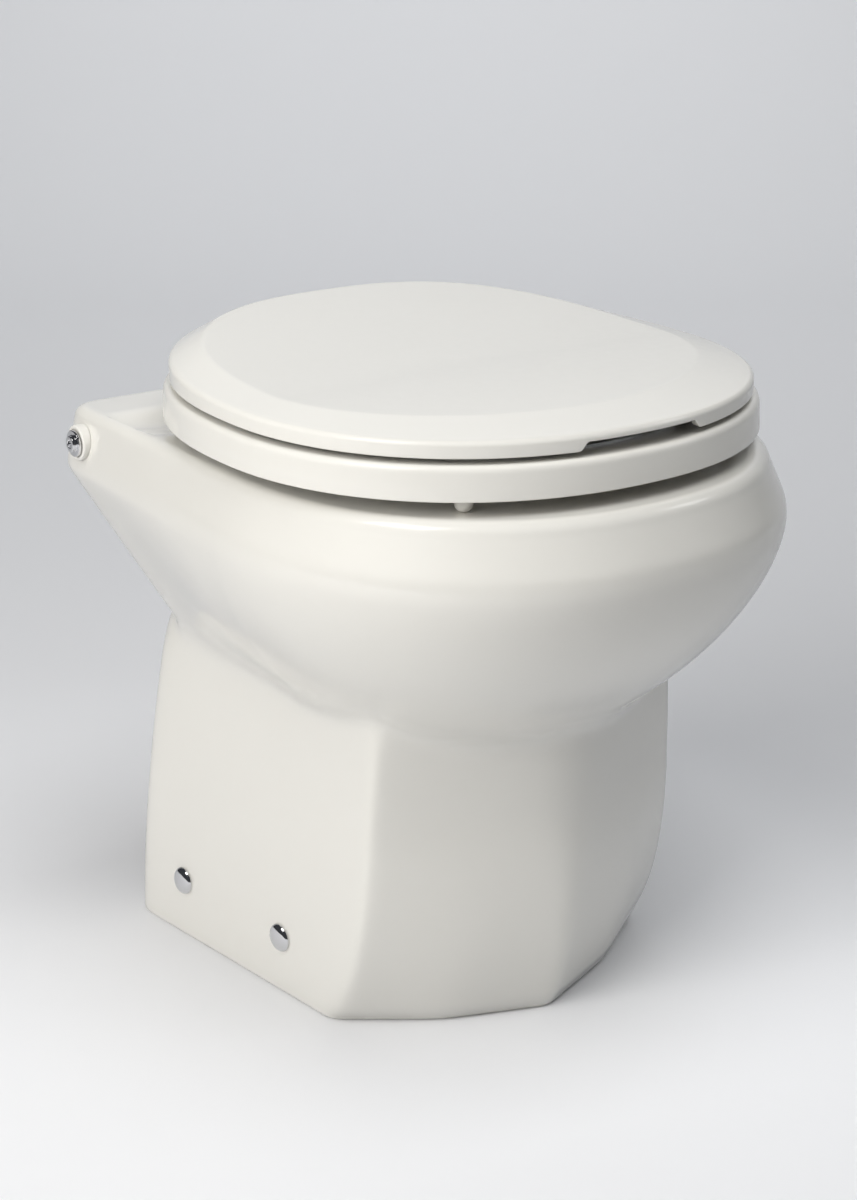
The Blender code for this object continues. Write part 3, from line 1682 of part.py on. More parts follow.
def make_discharge():
    """Duckbill valve clamped between the pump's outlet and the hose tail, which ends in the rear opening."""
    place = along_y(outlet_neck_x, 0, pump_height)
    start = outlet_neck_end_y + seat_gap
    flange_end = start + joker_flange
    bill_end = flange_end + joker_length
    steps = tube_steps + 2
    outside = tail_bore - joker_gap
    theta = np.linspace(0, 2 * np.pi, steps, endpoint=False)

    def ring(radius, flat, along):
        """Circle squeezed to a slit: flat is the half height left at the bill's tip."""
        return np.stack([radius * np.cos(theta), flat * np.sin(theta), np.full(steps, along)], axis=-1)

    thin = joker_lip
    rings = [
        ring(outlet_neck_bore, outlet_neck_bore, start),
        ring(outlet_flange_radius, outlet_flange_radius, start),
        ring(outlet_flange_radius, outlet_flange_radius, flange_end),
        ring(outside, outside, flange_end),
        ring(outside, outside * 0.8, flange_end + joker_length * 0.4),
        ring(outside * 0.98, thin, bill_end),
        ring(outside * 0.98 - thin * 0.6, thin * 0.35, bill_end),
        ring(outside - thin, outside * 0.8 - thin, flange_end + joker_length * 0.4),
        ring(outside - thin, outside - thin, flange_end),
    ]
    add_object("joker_valve", *loft(rings), rubber(), place)
    tail_start = flange_end + seat_gap
    tail_end = body_half_depth - tail_end_inset
    barb_start = tail_end - barb_length
    pitch = barb_length / barb_count
    profile = [
        (tail_bore, tail_start),
        (outlet_flange_radius, tail_start),
        (outlet_flange_radius, tail_start + outlet_flange),
        (tail_radius, tail_start + outlet_flange),
        (tail_radius, barb_start),
    ]
    for k in range(barb_count):
        profile.append((barb_radius + barb_rise, barb_start + pitch * (k + 0.35)))
        profile.append((barb_radius, barb_start + pitch * (k + 0.95)))
    bore_end = tail_bore - barb_rise
    profile += [(barb_radius - barb_rise, tail_end), (bore_end, tail_end), (bore_end, barb_start)]
    ring_turned("discharge_tail", profile[::-1], pump_plastic(), place)


def make_motor_foot():
    """Moulded cradle under the motor, its rubber feet and the strap over the motor."""
    low = foot_lift
    saddle = motor_radius + seat_gap
    bottom = -math.pi / 2
    centre = (pump_y, pump_height)
    outline = [
        (pump_y - foot_half_length, low),
        (pump_y + foot_half_length, low),
        (pump_y + foot_half_length, low + foot_base),
        (pump_y + saddle * math.sin(foot_arc) + foot_web / 2, low + foot_base * 2),
    ]
    reach = saddle + foot_base
    outline += [(centre[0] + reach * math.sin(foot_arc), centre[1] - reach * math.cos(foot_arc))]
    outline += arc(centre, saddle, bottom + foot_arc, bottom - foot_arc, 8)
    outline += [(centre[0] - reach * math.sin(foot_arc), centre[1] - reach * math.cos(foot_arc))]
    outline += [
        (pump_y - saddle * math.sin(foot_arc) - foot_web / 2, low + foot_base * 2),
        (pump_y - foot_half_length, low + foot_base),
    ]
    half = foot_width / 2
    turn = Matrix(((0, 0, 1), (1, 0, 0), (0, 1, 0))).to_4x4()
    place = Matrix.Translation((foot_x, 0, 0)) @ turn
    add_object("motor_foot", *prism(outline, -half, half), pump_plastic(), place)
    grommet_low = seat_gap
    grommet_high = low - seat_gap
    for sign, end_name in ((-1, "front"), (1, "rear")):
        profile = [
            (0, grommet_low),
            (grommet_radius, grommet_low),
            (grommet_radius * 0.9, grommet_high),
            (0, grommet_high),
        ]
        spot = along_z(foot_x, pump_y + sign * grommet_span)
        solid_turned(f"rubber_foot_{end_name}", profile, rubber(), spot)
    inner = motor_radius + strap_gap
    outer = inner + strap_thickness
    start = bottom + foot_arc + strap_end_angle
    end = bottom - foot_arc - strap_end_angle + 2 * math.pi
    outline = arc(centre, inner, start, end, 12) + arc(centre, outer, end, start, 12)
    half = strap_width / 2
    add_object("motor_strap", *prism(outline, -half, half), steel(), place)


def box_outline(half_u, half_v, corner, steps=2):
    outline = []
    for k, (u, v) in enumerate(((1, 1), (-1, 1), (-1, -1), (1, -1))):
        centre = (u * (half_u - corner), v * (half_v - corner))
        outline += arc(centre, corner, k * math.pi / 2, (k + 1) * math.pi / 2, steps)
    return outline


def make_rinse_valve(pivot):
    """Solenoid valve for the rinse water: body, guide tube on top, coil, plunger and spring."""
    half_x, half_y, half_z = valve_size_x / 2, valve_size_y / 2, valve_size_z / 2
    upright = along_z(valve_x, valve_y)
    sideways = along_x(0, valve_y, valve_height)
    rearward = along_y(valve_x, 0, valve_height)
    low, top = valve_height - half_z, valve_height + half_z
    block = box_outline(half_x, half_y, valve_corner)
    body = add_object("rinse_valve_body", *prism(block, low, top), pump_plastic(), upright)
    sink = valve_corner
    left, rear = valve_x - half_x, valve_y + half_y
    outlet = hose_tail_solid("valve_outlet_solid", left + sink, left - hose_barb_length, sideways)
    combine(body, outlet, "UNION")
    inlet = hose_tail_solid("valve_inlet_solid", rear - sink, rear + hose_barb_length, rearward)
    combine(body, inlet, "UNION")
    guide_tip = top + guide_length
    guide = [
        (0, top - sink),
        (guide_radius, top - sink),
        (guide_radius, guide_tip - guide_end / 2),
        (guide_radius - guide_end / 2, guide_tip),
        (0, guide_tip),
    ]
    combine(body, add_cutter("guide_solid", *turned(guide), upright), "UNION")
    seat = valve_height + hose_barb_bore * 0.8
    guide_bore = clear_radius(plunger_radius, run_gap, turn_steps)
    bore = cylinder_cutter("guide_bore_cutter", guide_bore, seat, guide_tip - guide_end, upright)
    combine(body, bore, "DIFFERENCE")
    bore = cylinder_cutter(
        "valve_outlet_cutter",
        hose_barb_bore,
        left - hose_barb_length - cut_overrun,
        valve_x + hose_barb_bore * 0.45,
        sideways,
        tube_steps,
    )
    combine(body, bore, "DIFFERENCE")
    bore = cylinder_cutter(
        "valve_inlet_cutter",
        hose_barb_bore * 0.9,
        valve_y + hose_barb_bore * 0.3,
        rear + hose_barb_length + cut_overrun,
        rearward,
        tube_steps,
    )
    combine(body, bore, "DIFFERENCE")
    coil_low = top + coil_gap
    coil = [
        (guide_radius + seat_gap, coil_low),
        (coil_radius, coil_low),
        (coil_radius, coil_low + coil_length),
        (guide_radius + seat_gap, coil_low + coil_length),
    ]
    ring_turned("rinse_coil", coil, motor_paint(), upright)
    start = seat + seat_gap
    end = start + plunger_length
    profile = [(0, start), (plunger_radius, start), (plunger_radius, end), (0, end)]
    solid_turned("rinse_plunger", profile, steel(), upright, parent=pivot)
    make_spring(end + seat_gap + spring_wire, guide_tip - guide_end - seat_gap - spring_wire, upright)


def hose_tail_solid(name, start, end, place):
    """Plain stub that a hose is pushed on to, as a cutter."""
    low, high = min(start, end), max(start, end)
    profile = [(0, low), (hose_barb_radius, low), (hose_barb_radius, high), (0, high)]
    return add_cutter(name, *turned(profile, tube_steps + 2), place)


def make_spring(start, end, place):
    """Open helix of round wire. Its least gap between turns is printed."""
    steps = spring_turns * spring_steps
    path = []
    for k in range(steps + 1):
        share = k / steps
        angle = 2 * math.pi * spring_turns * share
        height = start + (end - start) * share
        path.append((spring_radius * math.cos(angle), spring_radius * math.sin(angle), height))
    points, faces = tube(path, spring_wire, sides=4)
    pitch = (end - start) / spring_turns
    print(f"rinse_spring: least gap between turns {(pitch - 2 * spring_wire) * 1000:.2f} mm")
    add_object("rinse_spring", points, faces, steel(), place)


def path_frames(path):
    """Tangent and two normals at each point of a path, carried along without twist."""
    path = np.array(path, float)
    tangent = np.gradient(path, axis=0)
    tangent /= np.linalg.norm(tangent, axis=1)[:, None]
    side = np.cross(tangent[0], [0.0, 0.0, 1.0])
    sides = []
    for along in tangent:
        side = side - along * (side @ along)
        side = side / np.linalg.norm(side)
        sides.append(side)
    sides = np.array(sides)
    return path, sides, np.cross(tangent, sides)


def tube(path, radius, bore=0.0, sides=tube_steps):
    """Round tube along a path, solid or with a bore."""
    path, u, v = path_frames(path)
    angle = np.linspace(0, 2 * np.pi, sides, endpoint=False)

    def skin(size):
        cos, sin = np.cos(angle), np.sin(angle)
        return [p + size * (np.outer(cos, a) + np.outer(sin, b)) for p, a, b in zip(path, u, v)]

    outside = skin(radius)
    if bore == 0:
        return loft(outside, closed=False, poles=True)
    return loft(outside + skin(bore)[::-1], closed=True)


def make_nozzle_and_hose():
    """Rinse nozzle through the basin's rear wall, the hose from the valve to it, and a clamp on each end."""
    inner_face = nozzle_place()
    start = inner_face - nozzle_flange - nozzle_stand
    step = inner_face + wall * 1.6
    end = step + nozzle_reach
    bore = hose_barb_bore
    profile = [
        (bore, start),
        (nozzle_flange_radius * 0.8, start),
        (nozzle_flange_radius, start + nozzle_flange / 2),
        (nozzle_flange_radius, start + nozzle_flange),
        (nozzle_radius, start + nozzle_flange),
        (nozzle_radius, step),
        (hose_barb_radius, step),
        (hose_barb_radius, end),
        (bore, end),
    ]
    place = along_y(0, 0, nozzle_height)
    ring_turned("rinse_nozzle", profile[::-1], white_plastic(), place, steps=tube_steps + 2)
    stub_end = valve_x - valve_size_x / 2 - hose_barb_length
    low = Vector((stub_end + hose_grip, valve_y, valve_height))
    high = Vector((0, end - hose_grip, nozzle_height))
    first = low - Vector((hose_grip, 0, 0))
    last = high + Vector((0, hose_grip, 0))
    leave = first - Vector((hose_bend_reach, 0, 0))
    arrive = last + Vector((0, hose_end_reach, 0))
    path = [tuple(low)]
    for share in np.linspace(0, 1, hose_steps + 1).tolist():
        point = (
            first * (1 - share) ** 3
            + leave * 3 * share * (1 - share) ** 2
            + arrive * 3 * share**2 * (1 - share)
            + last * share**3
        )
        path.append(tuple(point))
    path.append(tuple(high))
    points, faces = tube(path, hose_radius, hose_bore)
    add_object("rinse_hose", points, faces, clear_hose())
    for place, name in (
        (along_x(low.x - hose_grip / 2, low.y, low.z), "hose_clamp_valve"),
        (along_y(high.x, high.y + hose_grip / 2, high.z), "hose_clamp_nozzle"),
    ):
        inner = hose_radius + seat_gap
        outer = inner + clamp_thickness
        half = clamp_width / 2
        profile = [(inner, -half), (outer, -half), (outer, half), (inner, half)]
        clamp = ring_turned(name, profile, steel(), place, steps=tube_steps + 2)
        screw = [
            (0, -clamp_screw * 1.5),
            (clamp_screw, -clamp_screw * 1.5),
            (clamp_screw, clamp_screw * 1.5),
            (0, clamp_screw * 1.5),
        ]
        spot = place @ Matrix.Translation((outer + clamp_screw * 0.7, 0, 0)) @ along_y()
        combine(clamp, add_cutter(f"{name}_screw", *turned(screw, 8), spot), "UNION")


def make_valve_strip():
    """Steel strip that holds the valve: screwed to the right-hand floor bracket, its top behind the body."""
    foot, _ = panel_point(1, valve_y, strip_foot_height, wall)
    inner_face = foot.x - bracket_wall_gap - 2 * bracket_thickness - strip_thickness
    valve_face = valve_x + valve_size_x / 2 + seat_gap
    top = valve_height + strip_top
    low = bracket_thickness + 3 * seat_gap
    bend = strip_bend_height
    thick = strip_thickness
    outline = [
        (inner_face, low),
        (inner_face + thick, low),
        (inner_face + thick, bend),
        (valve_face + thick, bend + strip_foot_height / 2),
        (valve_face + thick, top),
        (valve_face, top),
        (valve_face, bend + strip_foot_height / 2),
        (inner_face, bend),
    ]
    outline = [(x, -z) for x, z in outline]
    half = strip_width / 2
    add_object("valve_strip", *prism(outline, valve_y - half, valve_y + half), steel(), along_y())


def main():
    clear_scene()
    make_bowl_pedestal()
    make_hinge()
    axis = (0, hinge_y, hinge_height)
    make_seat(add_pivot("seat_pivot", axis))
    make_lid(add_pivot("lid_pivot", axis))
    make_fixings()
    for side, side_name in ((-1, "left"), (1, "right")):
        make_floor_bracket(side, side_name)
    make_intake()
    make_pump_casing()
    make_motor()
    make_rotor(add_pivot("rotor_pivot", (0, pump_y, pump_height)))
    make_discharge()
    make_motor_foot()
    make_rinse_valve(add_pivot("plunger_pivot", (valve_x, valve_y, valve_height)))
    make_nozzle_and_hose()
    make_valve_strip()


main()
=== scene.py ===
"""Electric marine toilet in a pale studio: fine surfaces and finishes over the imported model.

New pieces are surfaces on a two-parameter grid, worked out with numpy as whole arrays: a table of control
rings, its corners rounded by quadratic curves, or a formula of plan angle and height.
"""

import json
import math

import bmesh
import bpy
import numpy as np
from mathutils import Matrix, Vector

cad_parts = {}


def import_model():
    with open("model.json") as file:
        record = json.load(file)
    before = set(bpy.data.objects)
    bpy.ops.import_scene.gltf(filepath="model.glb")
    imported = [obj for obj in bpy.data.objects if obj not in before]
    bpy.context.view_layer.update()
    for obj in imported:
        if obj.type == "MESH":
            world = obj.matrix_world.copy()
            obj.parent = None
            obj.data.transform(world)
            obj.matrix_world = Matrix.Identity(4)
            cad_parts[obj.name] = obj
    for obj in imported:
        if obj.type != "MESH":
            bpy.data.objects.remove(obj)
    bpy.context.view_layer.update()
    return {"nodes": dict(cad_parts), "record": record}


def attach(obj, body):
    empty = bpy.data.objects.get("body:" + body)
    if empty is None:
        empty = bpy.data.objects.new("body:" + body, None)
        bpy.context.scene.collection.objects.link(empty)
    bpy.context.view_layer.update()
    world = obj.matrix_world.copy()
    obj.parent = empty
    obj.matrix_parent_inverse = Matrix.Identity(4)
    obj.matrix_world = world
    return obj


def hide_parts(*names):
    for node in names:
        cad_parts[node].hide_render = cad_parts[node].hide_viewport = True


# Sizes of the object, in metres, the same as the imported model's. First bowl and deck.
BODY_HALF_WIDTH = 0.1950
BODY_HALF_DEPTH = 0.2210
RIM_HEIGHT = 0.3865
RIM_SIDE_INSET = 0.0135
RIM_FRONT_INSET = 0.0172
RIM_REAR_INSET = 0.0080
RIM_ROUND = 0.0080
CREST_HEIGHT = 0.3545
CREST_SIDE_INSET = 0.0012
CREST_END_INSET = 0.0012
WIDEST_HEIGHT = 0.3424
WIDEST_Y = -0.0085
DECK_HALF_WIDTH = 0.1865
DECK_CREST_NARROWING = 0.0015
DECK_RIM_NARROWING = 0.0054
DECK_DIP = 0.0070
BELLY_DEPTH = 0.1822
BELLY_FALL_POWER = 1.563
BELLY_TURN_POWER = 1.672
DECK_TAPER_HEIGHT = 0.1027
DECK_TAPER = 0.2643
FRONT_POWER = 2.20
DECK_POWER = 30.0
WALL = 0.0095
CREASE = 0.0130
PLAN_Y = 0.0215
CEILING = 0.3745
DECK_CEILING = 0.3250

# Sines of the plan angle between which the belly turns into the deck's taper, and the rim into the deck
TAPER_BLEND = (0.02, 0.78)
DECK_BLEND = (0.40, 0.66)

# Pedestal: its plan on the floor, and how far it narrows and leans forward on its way up
PEDESTAL_TOP = 0.2600
LEAN_HEIGHT = 0.0600
NARROWING_HEIGHT, NARROWING_POWER = 0.2350, 1.6
SIDE_HALF, SIDE_NARROWING = 0.1328, 0.0098
REAR_HALF, REAR_NARROWING = 0.1590, 0.0310
PROW_Y, PROW_LEAN = -0.1055, 0.0295
CORNER_Y, CORNER_LEAN = -0.0340, 0.0470
BULGE, BULGE_LOSS = 0.0095, 0.0030
PANEL_END_Y, REAR_Y = 0.1815, 0.2015
REAR_CHAMFER = 0.0180
FOOT_ROUND = 0.0030
PROW_POWER, PROW_POWER_LOSS, PROW_SOFT_HEIGHT = 90.0, 72.0, 0.1500
CORNER_POWER, CORNER_POWER_LOSS, CORNER_SOFTENING = 60.0, 38.0, (0.1900, 0.2400)
FIXING_Z = 0.0438
SCREW_BORE = 0.0036
FIXING_ENDS = ((0.0163, "front"), (0.1292, "rear"))

# Basin, the spigot under it, and the openings cut into the casting
BASIN_LIP = 0.0080
BASIN_SPREAD = 0.0060
BASIN_TOP, BASIN_LOW = 0.3440, 0.1720
BASIN_CURVE = ((0.0, 0.0), (0.07, 0.20), (0.20, 0.45), (0.37, 0.68), (0.60, 0.87), (1.0, 1.0))
SPIGOT_BORE, SPIGOT_RADIUS, SPIGOT_LOW = 0.0380, 0.0500, 0.1500
TROUGH_HALF = 0.0970
TROUGH_FRONT = 0.1520
TROUGH_FLOOR = 0.3380
ARCH_HALF, ARCH_TOP, ARCH_ROUND = 0.0950, 0.2000, 0.0400

# Hinge
HINGE_Y = 0.1865
HINGE_Z = 0.3650
HINGE_FACE = 0.1900
EYE_RADIUS, EYE_BORE = 0.0105, 0.00416
HINGE_BORE = 0.0103

# Seat and lid
LID_EDGE = 0.4210
LID_WALL = 0.0084
LID_SKIN = 0.0055
LID_LIFT, LIFT_START_Y, LIFT_RUN, LIFT_POWER = 0.0160, -0.0285, 0.2000, 1.8
LID_SIDE_LIFT = 0.35
NOTCH_HALF = 0.0470
NOTCH_RISE = 0.0055
NOTCH_SLANT = 0.0060
PLATEAU_HEIGHT = 0.4365
SEAT_LOW = 0.3962
SEAT_TOP = 0.4175
SEAT_REAR = 0.1585
LID_BUMPER_RADIUS = 0.0055
SEAT_BUMPER_RADIUS = 0.0060

# Ovals: half width, reach in front, reach behind, power in front, power behind, Y of the middle
BASIN_OVAL = (0.1220, 0.1360, 0.1350, 2.15, 2.15, -0.0200)
LID_OVAL = (0.1820, 0.1775, 0.2050, 2.17, 2.30, WIDEST_Y)
PLATEAU_OVAL = (0.1563, 0.1314, 0.1804, 1.97, 2.64, -0.0139)
OPENING_OVAL = (0.1080, 0.1120, 0.1150, 2.1, 2.1, -0.0300)

# Pump, motor and rinse valve
PUMP_Y = 0.0300
PUMP_Z = 0.0780
OUTLET_X = -0.0460
OUTLET_END = 0.1000
MOTOR_RADIUS = 0.0335
SHAFT_HOLE = 0.0042
VALVE_X, VALVE_Y, VALVE_Z = 0.1050, 0.1100, 0.1100
PLUNGER_TOP = 0.1357
PLUNGER_STROKE = 0.0025
NOZZLE_Z, NOZZLE_BORE = 0.3120, 0.0088

# Clearance between pieces that lie against each other
GAP = 0.0003

# Most of a span that the rounding of one of its corners may take
SPAN_LIMIT = 0.48

# Columns round the ceramic, columns round a turned piece, and points of a plan outline
FINE = 400
ROUND = 96
OUTLINE_POINTS = 1441

SIDES = ((-1, "left"), (1, "right"))

# The photo's camera, solved from its outlines
FOCAL_PIXELS = 2207.63
PHOTO_HEIGHT = 1200
SENSOR = 36
CAMERA_PLACE = (-0.83975, -1.14013, 0.77904)
CAMERA_RIGHT = (0.81409327, -0.58073414, 0.0)
CAMERA_UP = (0.19791547, 0.27744477, 0.94013502)
CAMERA_FORWARD = (0.54596851, 0.7653576, -0.34080219)

# Lights: name, place, target, size, power, colour, seen in reflections, and a spot's cone in degrees
WARM, COOL = (1.0, 0.985, 0.96), (0.98, 0.99, 1.0)
LIGHTS = (
    ("left_diffuser", (-2.15, -0.38, 1.25), (0, 0, 0.22), (1.6, 1.4), 39, WARM, False, 0),
    ("overhead", (0.10, -0.95, 3.0), (0.15, -0.7, 0.0), (1.8, 1.8), 43, COOL, False, 0),
    ("left_strip", (-1.15, -0.22, 1.95), (0, 0, 0.36), (0.80, 0.80), 8, WARM, True, 0),
    ("right_strip", (1.35, -0.65, 1.60), (0, 0, 0.38), (0.40, 0.40), 1.0, COOL, True, 0),
    ("backdrop_light", (0.8, 1.0, 3.4), (2.3, 3.4, 2.8), (3.0, 1.0), 90, COOL, False, 0),
    ("floor_pool", (0.95, -0.95, 1.00), (0.20, -0.20, 0.0), (0.25, 0.25), 14, COOL, False, 26),
)

# Finishes by material slot. A socket of the shader is written with _ for each space in its name.
FINISHES = {
    "ceramic": dict(
        name="white_glaze", base=(0.800, 0.785, 0.735), tint=(0.770, 0.752, 0.700), gloss=(0.30, 0.36),
        sizes=(5.0, 30.0), bump=0.03, reach=0.0006,
        Coat_Weight=1.0, Coat_Roughness=0.04, Specular_IOR_Level=0.5,
    ),
    "seat_plastic": dict(
        name="seat_lacquer", base=(0.810, 0.795, 0.745), tint=(0.785, 0.768, 0.715), gloss=(0.14, 0.20),
        sizes=(4.0, 140.0), bump=0.03, Coat_Weight=0.3, Coat_Roughness=0.08,
    ),
    "white_plastic": dict(
        name="nylon_white", base=(0.800, 0.785, 0.740), tint=(0.740, 0.720, 0.670), gloss=(0.32, 0.42),
        sizes=(30.0, 400.0), bump=0.08,
    ),
    "chrome": dict(
        name="polished_chrome", base=(0.82, 0.82, 0.83), tint=(0.72, 0.73, 0.75), gloss=(0.04, 0.09),
        sizes=(40.0, 200.0), amount=0.4, Metallic=1.0,
    ),
    "steel": dict(
        name="brushed_stainless", base=(0.60, 0.60, 0.61), tint=(0.46, 0.46, 0.47), gloss=(0.29, 0.40),
        sizes=(20.0, 60.0), amount=0.6, bump=0.12, stretch=(1.0, 14.0, 14.0), Metallic=1.0,
    ),
    "rubber": dict(
        name="black_rubber", base=(0.022, 0.022, 0.023), tint=(0.045, 0.044, 0.043), gloss=(0.55, 0.75),
        sizes=(30.0, 300.0), amount=0.7, bump=0.2,
    ),
    "pump_plastic": dict(
        name="glass_filled_black", base=(0.030, 0.031, 0.034), tint=(0.055, 0.056, 0.058), gloss=(0.38, 0.52),
        sizes=(25.0, 500.0), amount=0.6, bump=0.22,
    ),
    "motor_paint": dict(
        name="motor_enamel", base=(0.050, 0.054, 0.062), tint=(0.075, 0.078, 0.085), gloss=(0.28, 0.40),
        sizes=(18.0, 260.0), amount=0.6, bump=0.12,
    ),
    "hose": dict(
        name="milky_hose", base=(0.66, 0.67, 0.65), tint=(0.58, 0.59, 0.57), gloss=(0.29, 0.38),
        sizes=(25.0, 150.0), amount=0.6, bump=0.05,
    ),
}


# ---------------------------------------------------------------- surfaces


def add_to_scene(name, data):
    obj = bpy.data.objects.new(name, data)
    bpy.context.scene.collection.objects.link(obj)
    return obj


def put_mesh(name, points, faces):
    """Closed mesh object at the origin, its faces turned outwards and its doubles merged."""
    mesh = bpy.data.meshes.new(name)
    mesh.from_pydata(points.tolist(), [], faces)
    shape = bmesh.new()
    shape.from_mesh(mesh)
    bmesh.ops.remove_doubles(shape, verts=shape.verts, dist=1e-6)
    bmesh.ops.recalc_face_normals(shape, faces=shape.faces)
    shape.to_mesh(mesh)
    shape.free()
    mesh.shade_smooth()
    return add_to_scene(name, mesh)


def split(rows, quads):
    """Cuts the quads of a closed grid into triangles along the diagonal over which its normal, the cross
    product of the two differences between neighbours, turns least."""
    along = np.roll(rows, -1, axis=1) - np.roll(rows, 1, axis=1)
    onward = np.roll(rows, -1, axis=0) - np.roll(rows, 1, axis=0)
    normal = np.cross(along, onward).reshape(-1, 3)
    normal /= np.linalg.norm(normal, axis=1)[:, None] + 1e-12
    quads = quads.reshape(-1, 4)
    corners = normal[quads]
    straight = (corners[:, 0] * corners[:, 2]).sum(axis=1) >= (corners[:, 1] * corners[:, 3]).sum(axis=1)
    first = np.where(straight[:, None], quads[:, (0, 1, 2)], quads[:, (0, 1, 3)])
    second = np.where(straight[:, None], quads[:, (0, 2, 3)], quads[:, (1, 2, 3)])
    return np.concatenate([first, second]).tolist()


def skin(name, rows, closed=False, poles=(True, True), fine=False):
    """Surface over rows of points: point (i, k) joins (i, k+1), (i+1, k+1) and (i+1, k), the columns run
    round, and a pole is a fan from an end row to its mean. Closed joins the last row to the first."""
    rows = np.asarray(rows, float)
    count, around = rows.shape[:2]
    index = np.arange(count * around).reshape(count, around)
    low = index if closed else index[:-1]
    high = np.roll(index, -1, axis=0) if closed else index[1:]
    quads = np.stack([low, np.roll(low, -1, axis=1), np.roll(high, -1, axis=1), high], axis=-1)
    faces = split(rows, quads) if fine else quads.reshape(-1, 4).tolist()
    points = rows.reshape(-1, 3)
    if not closed:
        for wanted, row in zip(poles, (0, count - 1)):
            if wanted:
                middle = np.full(around, len(points))
                points = np.vstack([points, rows[row].mean(axis=0)])
                ring = index[row]
                faces += np.stack([ring, np.roll(ring, -1), middle], axis=-1).tolist()
    return put_mesh(name, points, faces)


def rounded(rings, cuts, steps=5, closed=False):
    """Control rings with their corners rounded. Corner k is replaced by the quadratic curve
    (1-t)^2 A + 2t(1-t) P + t^2 B, where A and B lie on its two spans at the distance cuts[k]."""
    rings = np.asarray(rings, float)
    cuts = np.broadcast_to(cuts, (len(rings),))
    before, after = np.roll(rings, 1, axis=0), np.roll(rings, -1, axis=0)
    t = np.linspace(0, 1, steps + 1)
    found = []
    for k, reach in enumerate(cuts.tolist()):
        if reach == 0 or (not closed and k in (0, len(rings) - 1)):
            found.append(rings[k][None])
            continue
        back, ahead = before[k] - rings[k], after[k] - rings[k]
        back_size = np.linalg.norm(back, axis=-1, keepdims=True)
        ahead_size = np.linalg.norm(ahead, axis=-1, keepdims=True)
        start = rings[k] + back * np.minimum(reach / np.maximum(back_size, 1e-9), SPAN_LIMIT)
        end = rings[k] + ahead * np.minimum(reach / np.maximum(ahead_size, 1e-9), SPAN_LIMIT)
        weight = t.reshape((-1,) + (1,) * start.ndim)
        found.append(start * (1 - weight) ** 2 + 2 * weight * (1 - weight) * rings[k] + end * weight**2)
    return np.concatenate(found)


def revolve(corners, place, around=ROUND, steps=4, closed=False):
    """Rows of a profile turned round local Z and placed: (r cos a, r sin a, h). A corner is its radius, its
    height and how far from it its rounding starts."""
    corners = np.array(corners, float)
    section = rounded(corners[:, :2], corners[:, 2], steps, closed)
    angle = np.linspace(0, 2 * np.pi, around, endpoint=False)
    radius, height = section[:, :1], section[:, 1:]
    rows = np.stack([radius * np.cos(angle), radius * np.sin(angle), height + 0 * angle], axis=-1)
    return placed(rows, place)


def placed(rows, place):
    turn = np.array(place.to_3x3())
    return rows @ turn.T + np.array(place.translation)


def lathe(name, corners, place, around=ROUND, steps=4, closed=False):
    """Turned piece. A closed profile is a ring's section, and an open one starts and ends on the axis."""
    return skin(name, revolve(corners, place, around, steps, closed), closed=closed)


def axis_x(x=0.0, y=0.0, z=0.0, facing=1):
    turn = Matrix(((0, 0, facing), (facing, 0, 0), (0, 1, 0))).to_4x4()
    return Matrix.Translation((x, y, z)) @ turn


def axis_y(x=0.0, y=0.0, z=0.0):
    turn = Matrix(((1, 0, 0), (0, 0, 1), (0, -1, 0))).to_4x4()
    return Matrix.Translation((x, y, z)) @ turn


def axis_z(x=0.0, y=0.0, z=0.0):
    return Matrix.Translation((x, y, z))


def tube(name, path, radius, bore=0.0, around=24):
    """Round tube: path point plus radius times (cos a) N + (sin a) B, with frames carried along untwisted."""
    path = np.asarray(path, float)
    tangent = np.gradient(path, axis=0)
    tangent /= np.linalg.norm(tangent, axis=1)[:, None]
    side = np.cross(tangent[0], [0.0, 0.0, 1.0])
    if np.linalg.norm(side) < 1e-6:
        side = np.array([1.0, 0.0, 0.0])
    sides = []
    for along in tangent:
        side = side - along * (side @ along)
        side = side / np.linalg.norm(side)
        sides.append(side)
    sides = np.array(sides)
    other = np.cross(tangent, sides)
    angle = np.linspace(0, 2 * np.pi, around, endpoint=False)
    spoke = np.cos(angle)[None, :, None] * sides[:, None] + np.sin(angle)[None, :, None] * other[:, None]
    outside = path[:, None] + radius * spoke
    if bore == 0:
        return skin(name, outside)
    inside = path[:, None] + bore * spoke
    return skin(name, np.concatenate([outside, inside[::-1]]), closed=True)


def plate(name, outline, start, end, place, bevel=0.0010):
    """Flat outline of (u, v) carried along local Z between two flat ends, its edges bevelled round."""
    outline = np.asarray(outline, float)
    count = len(outline)
    levels = np.repeat([start, end], count)[:, None]
    points = placed(np.hstack([np.tile(outline, (2, 1)), levels]), place)
    ring = np.arange(count)
    faces = [ring[::-1].tolist(), (ring + count).tolist()]
    after = np.roll(ring, -1)
    faces += np.stack([ring, after, after + count, ring + count], axis=-1).tolist()
    obj = put_mesh(name, points, faces)
    if bevel:
        soften(obj, bevel)
    return obj


def soften(obj, width, segments=3, angle=35):
    change = obj.modifiers.new("rounded_edges", "BEVEL")
    change.width = width
    change.segments = segments
    change.limit_method = "ANGLE"
    change.angle_limit = math.radians(angle)
    change.harden_normals = False


def settle(obj, sharp=35):
    """Applies the modifiers, then smooths everything but edges sharper than the angle."""
    graph = bpy.context.evaluated_depsgraph_get()
    mesh = bpy.data.meshes.new_from_object(obj.evaluated_get(graph))
    obj.modifiers.clear()
    obj.data = mesh
    mesh.shade_smooth()
    mesh.set_sharp_from_angle(angle=math.radians(sharp))


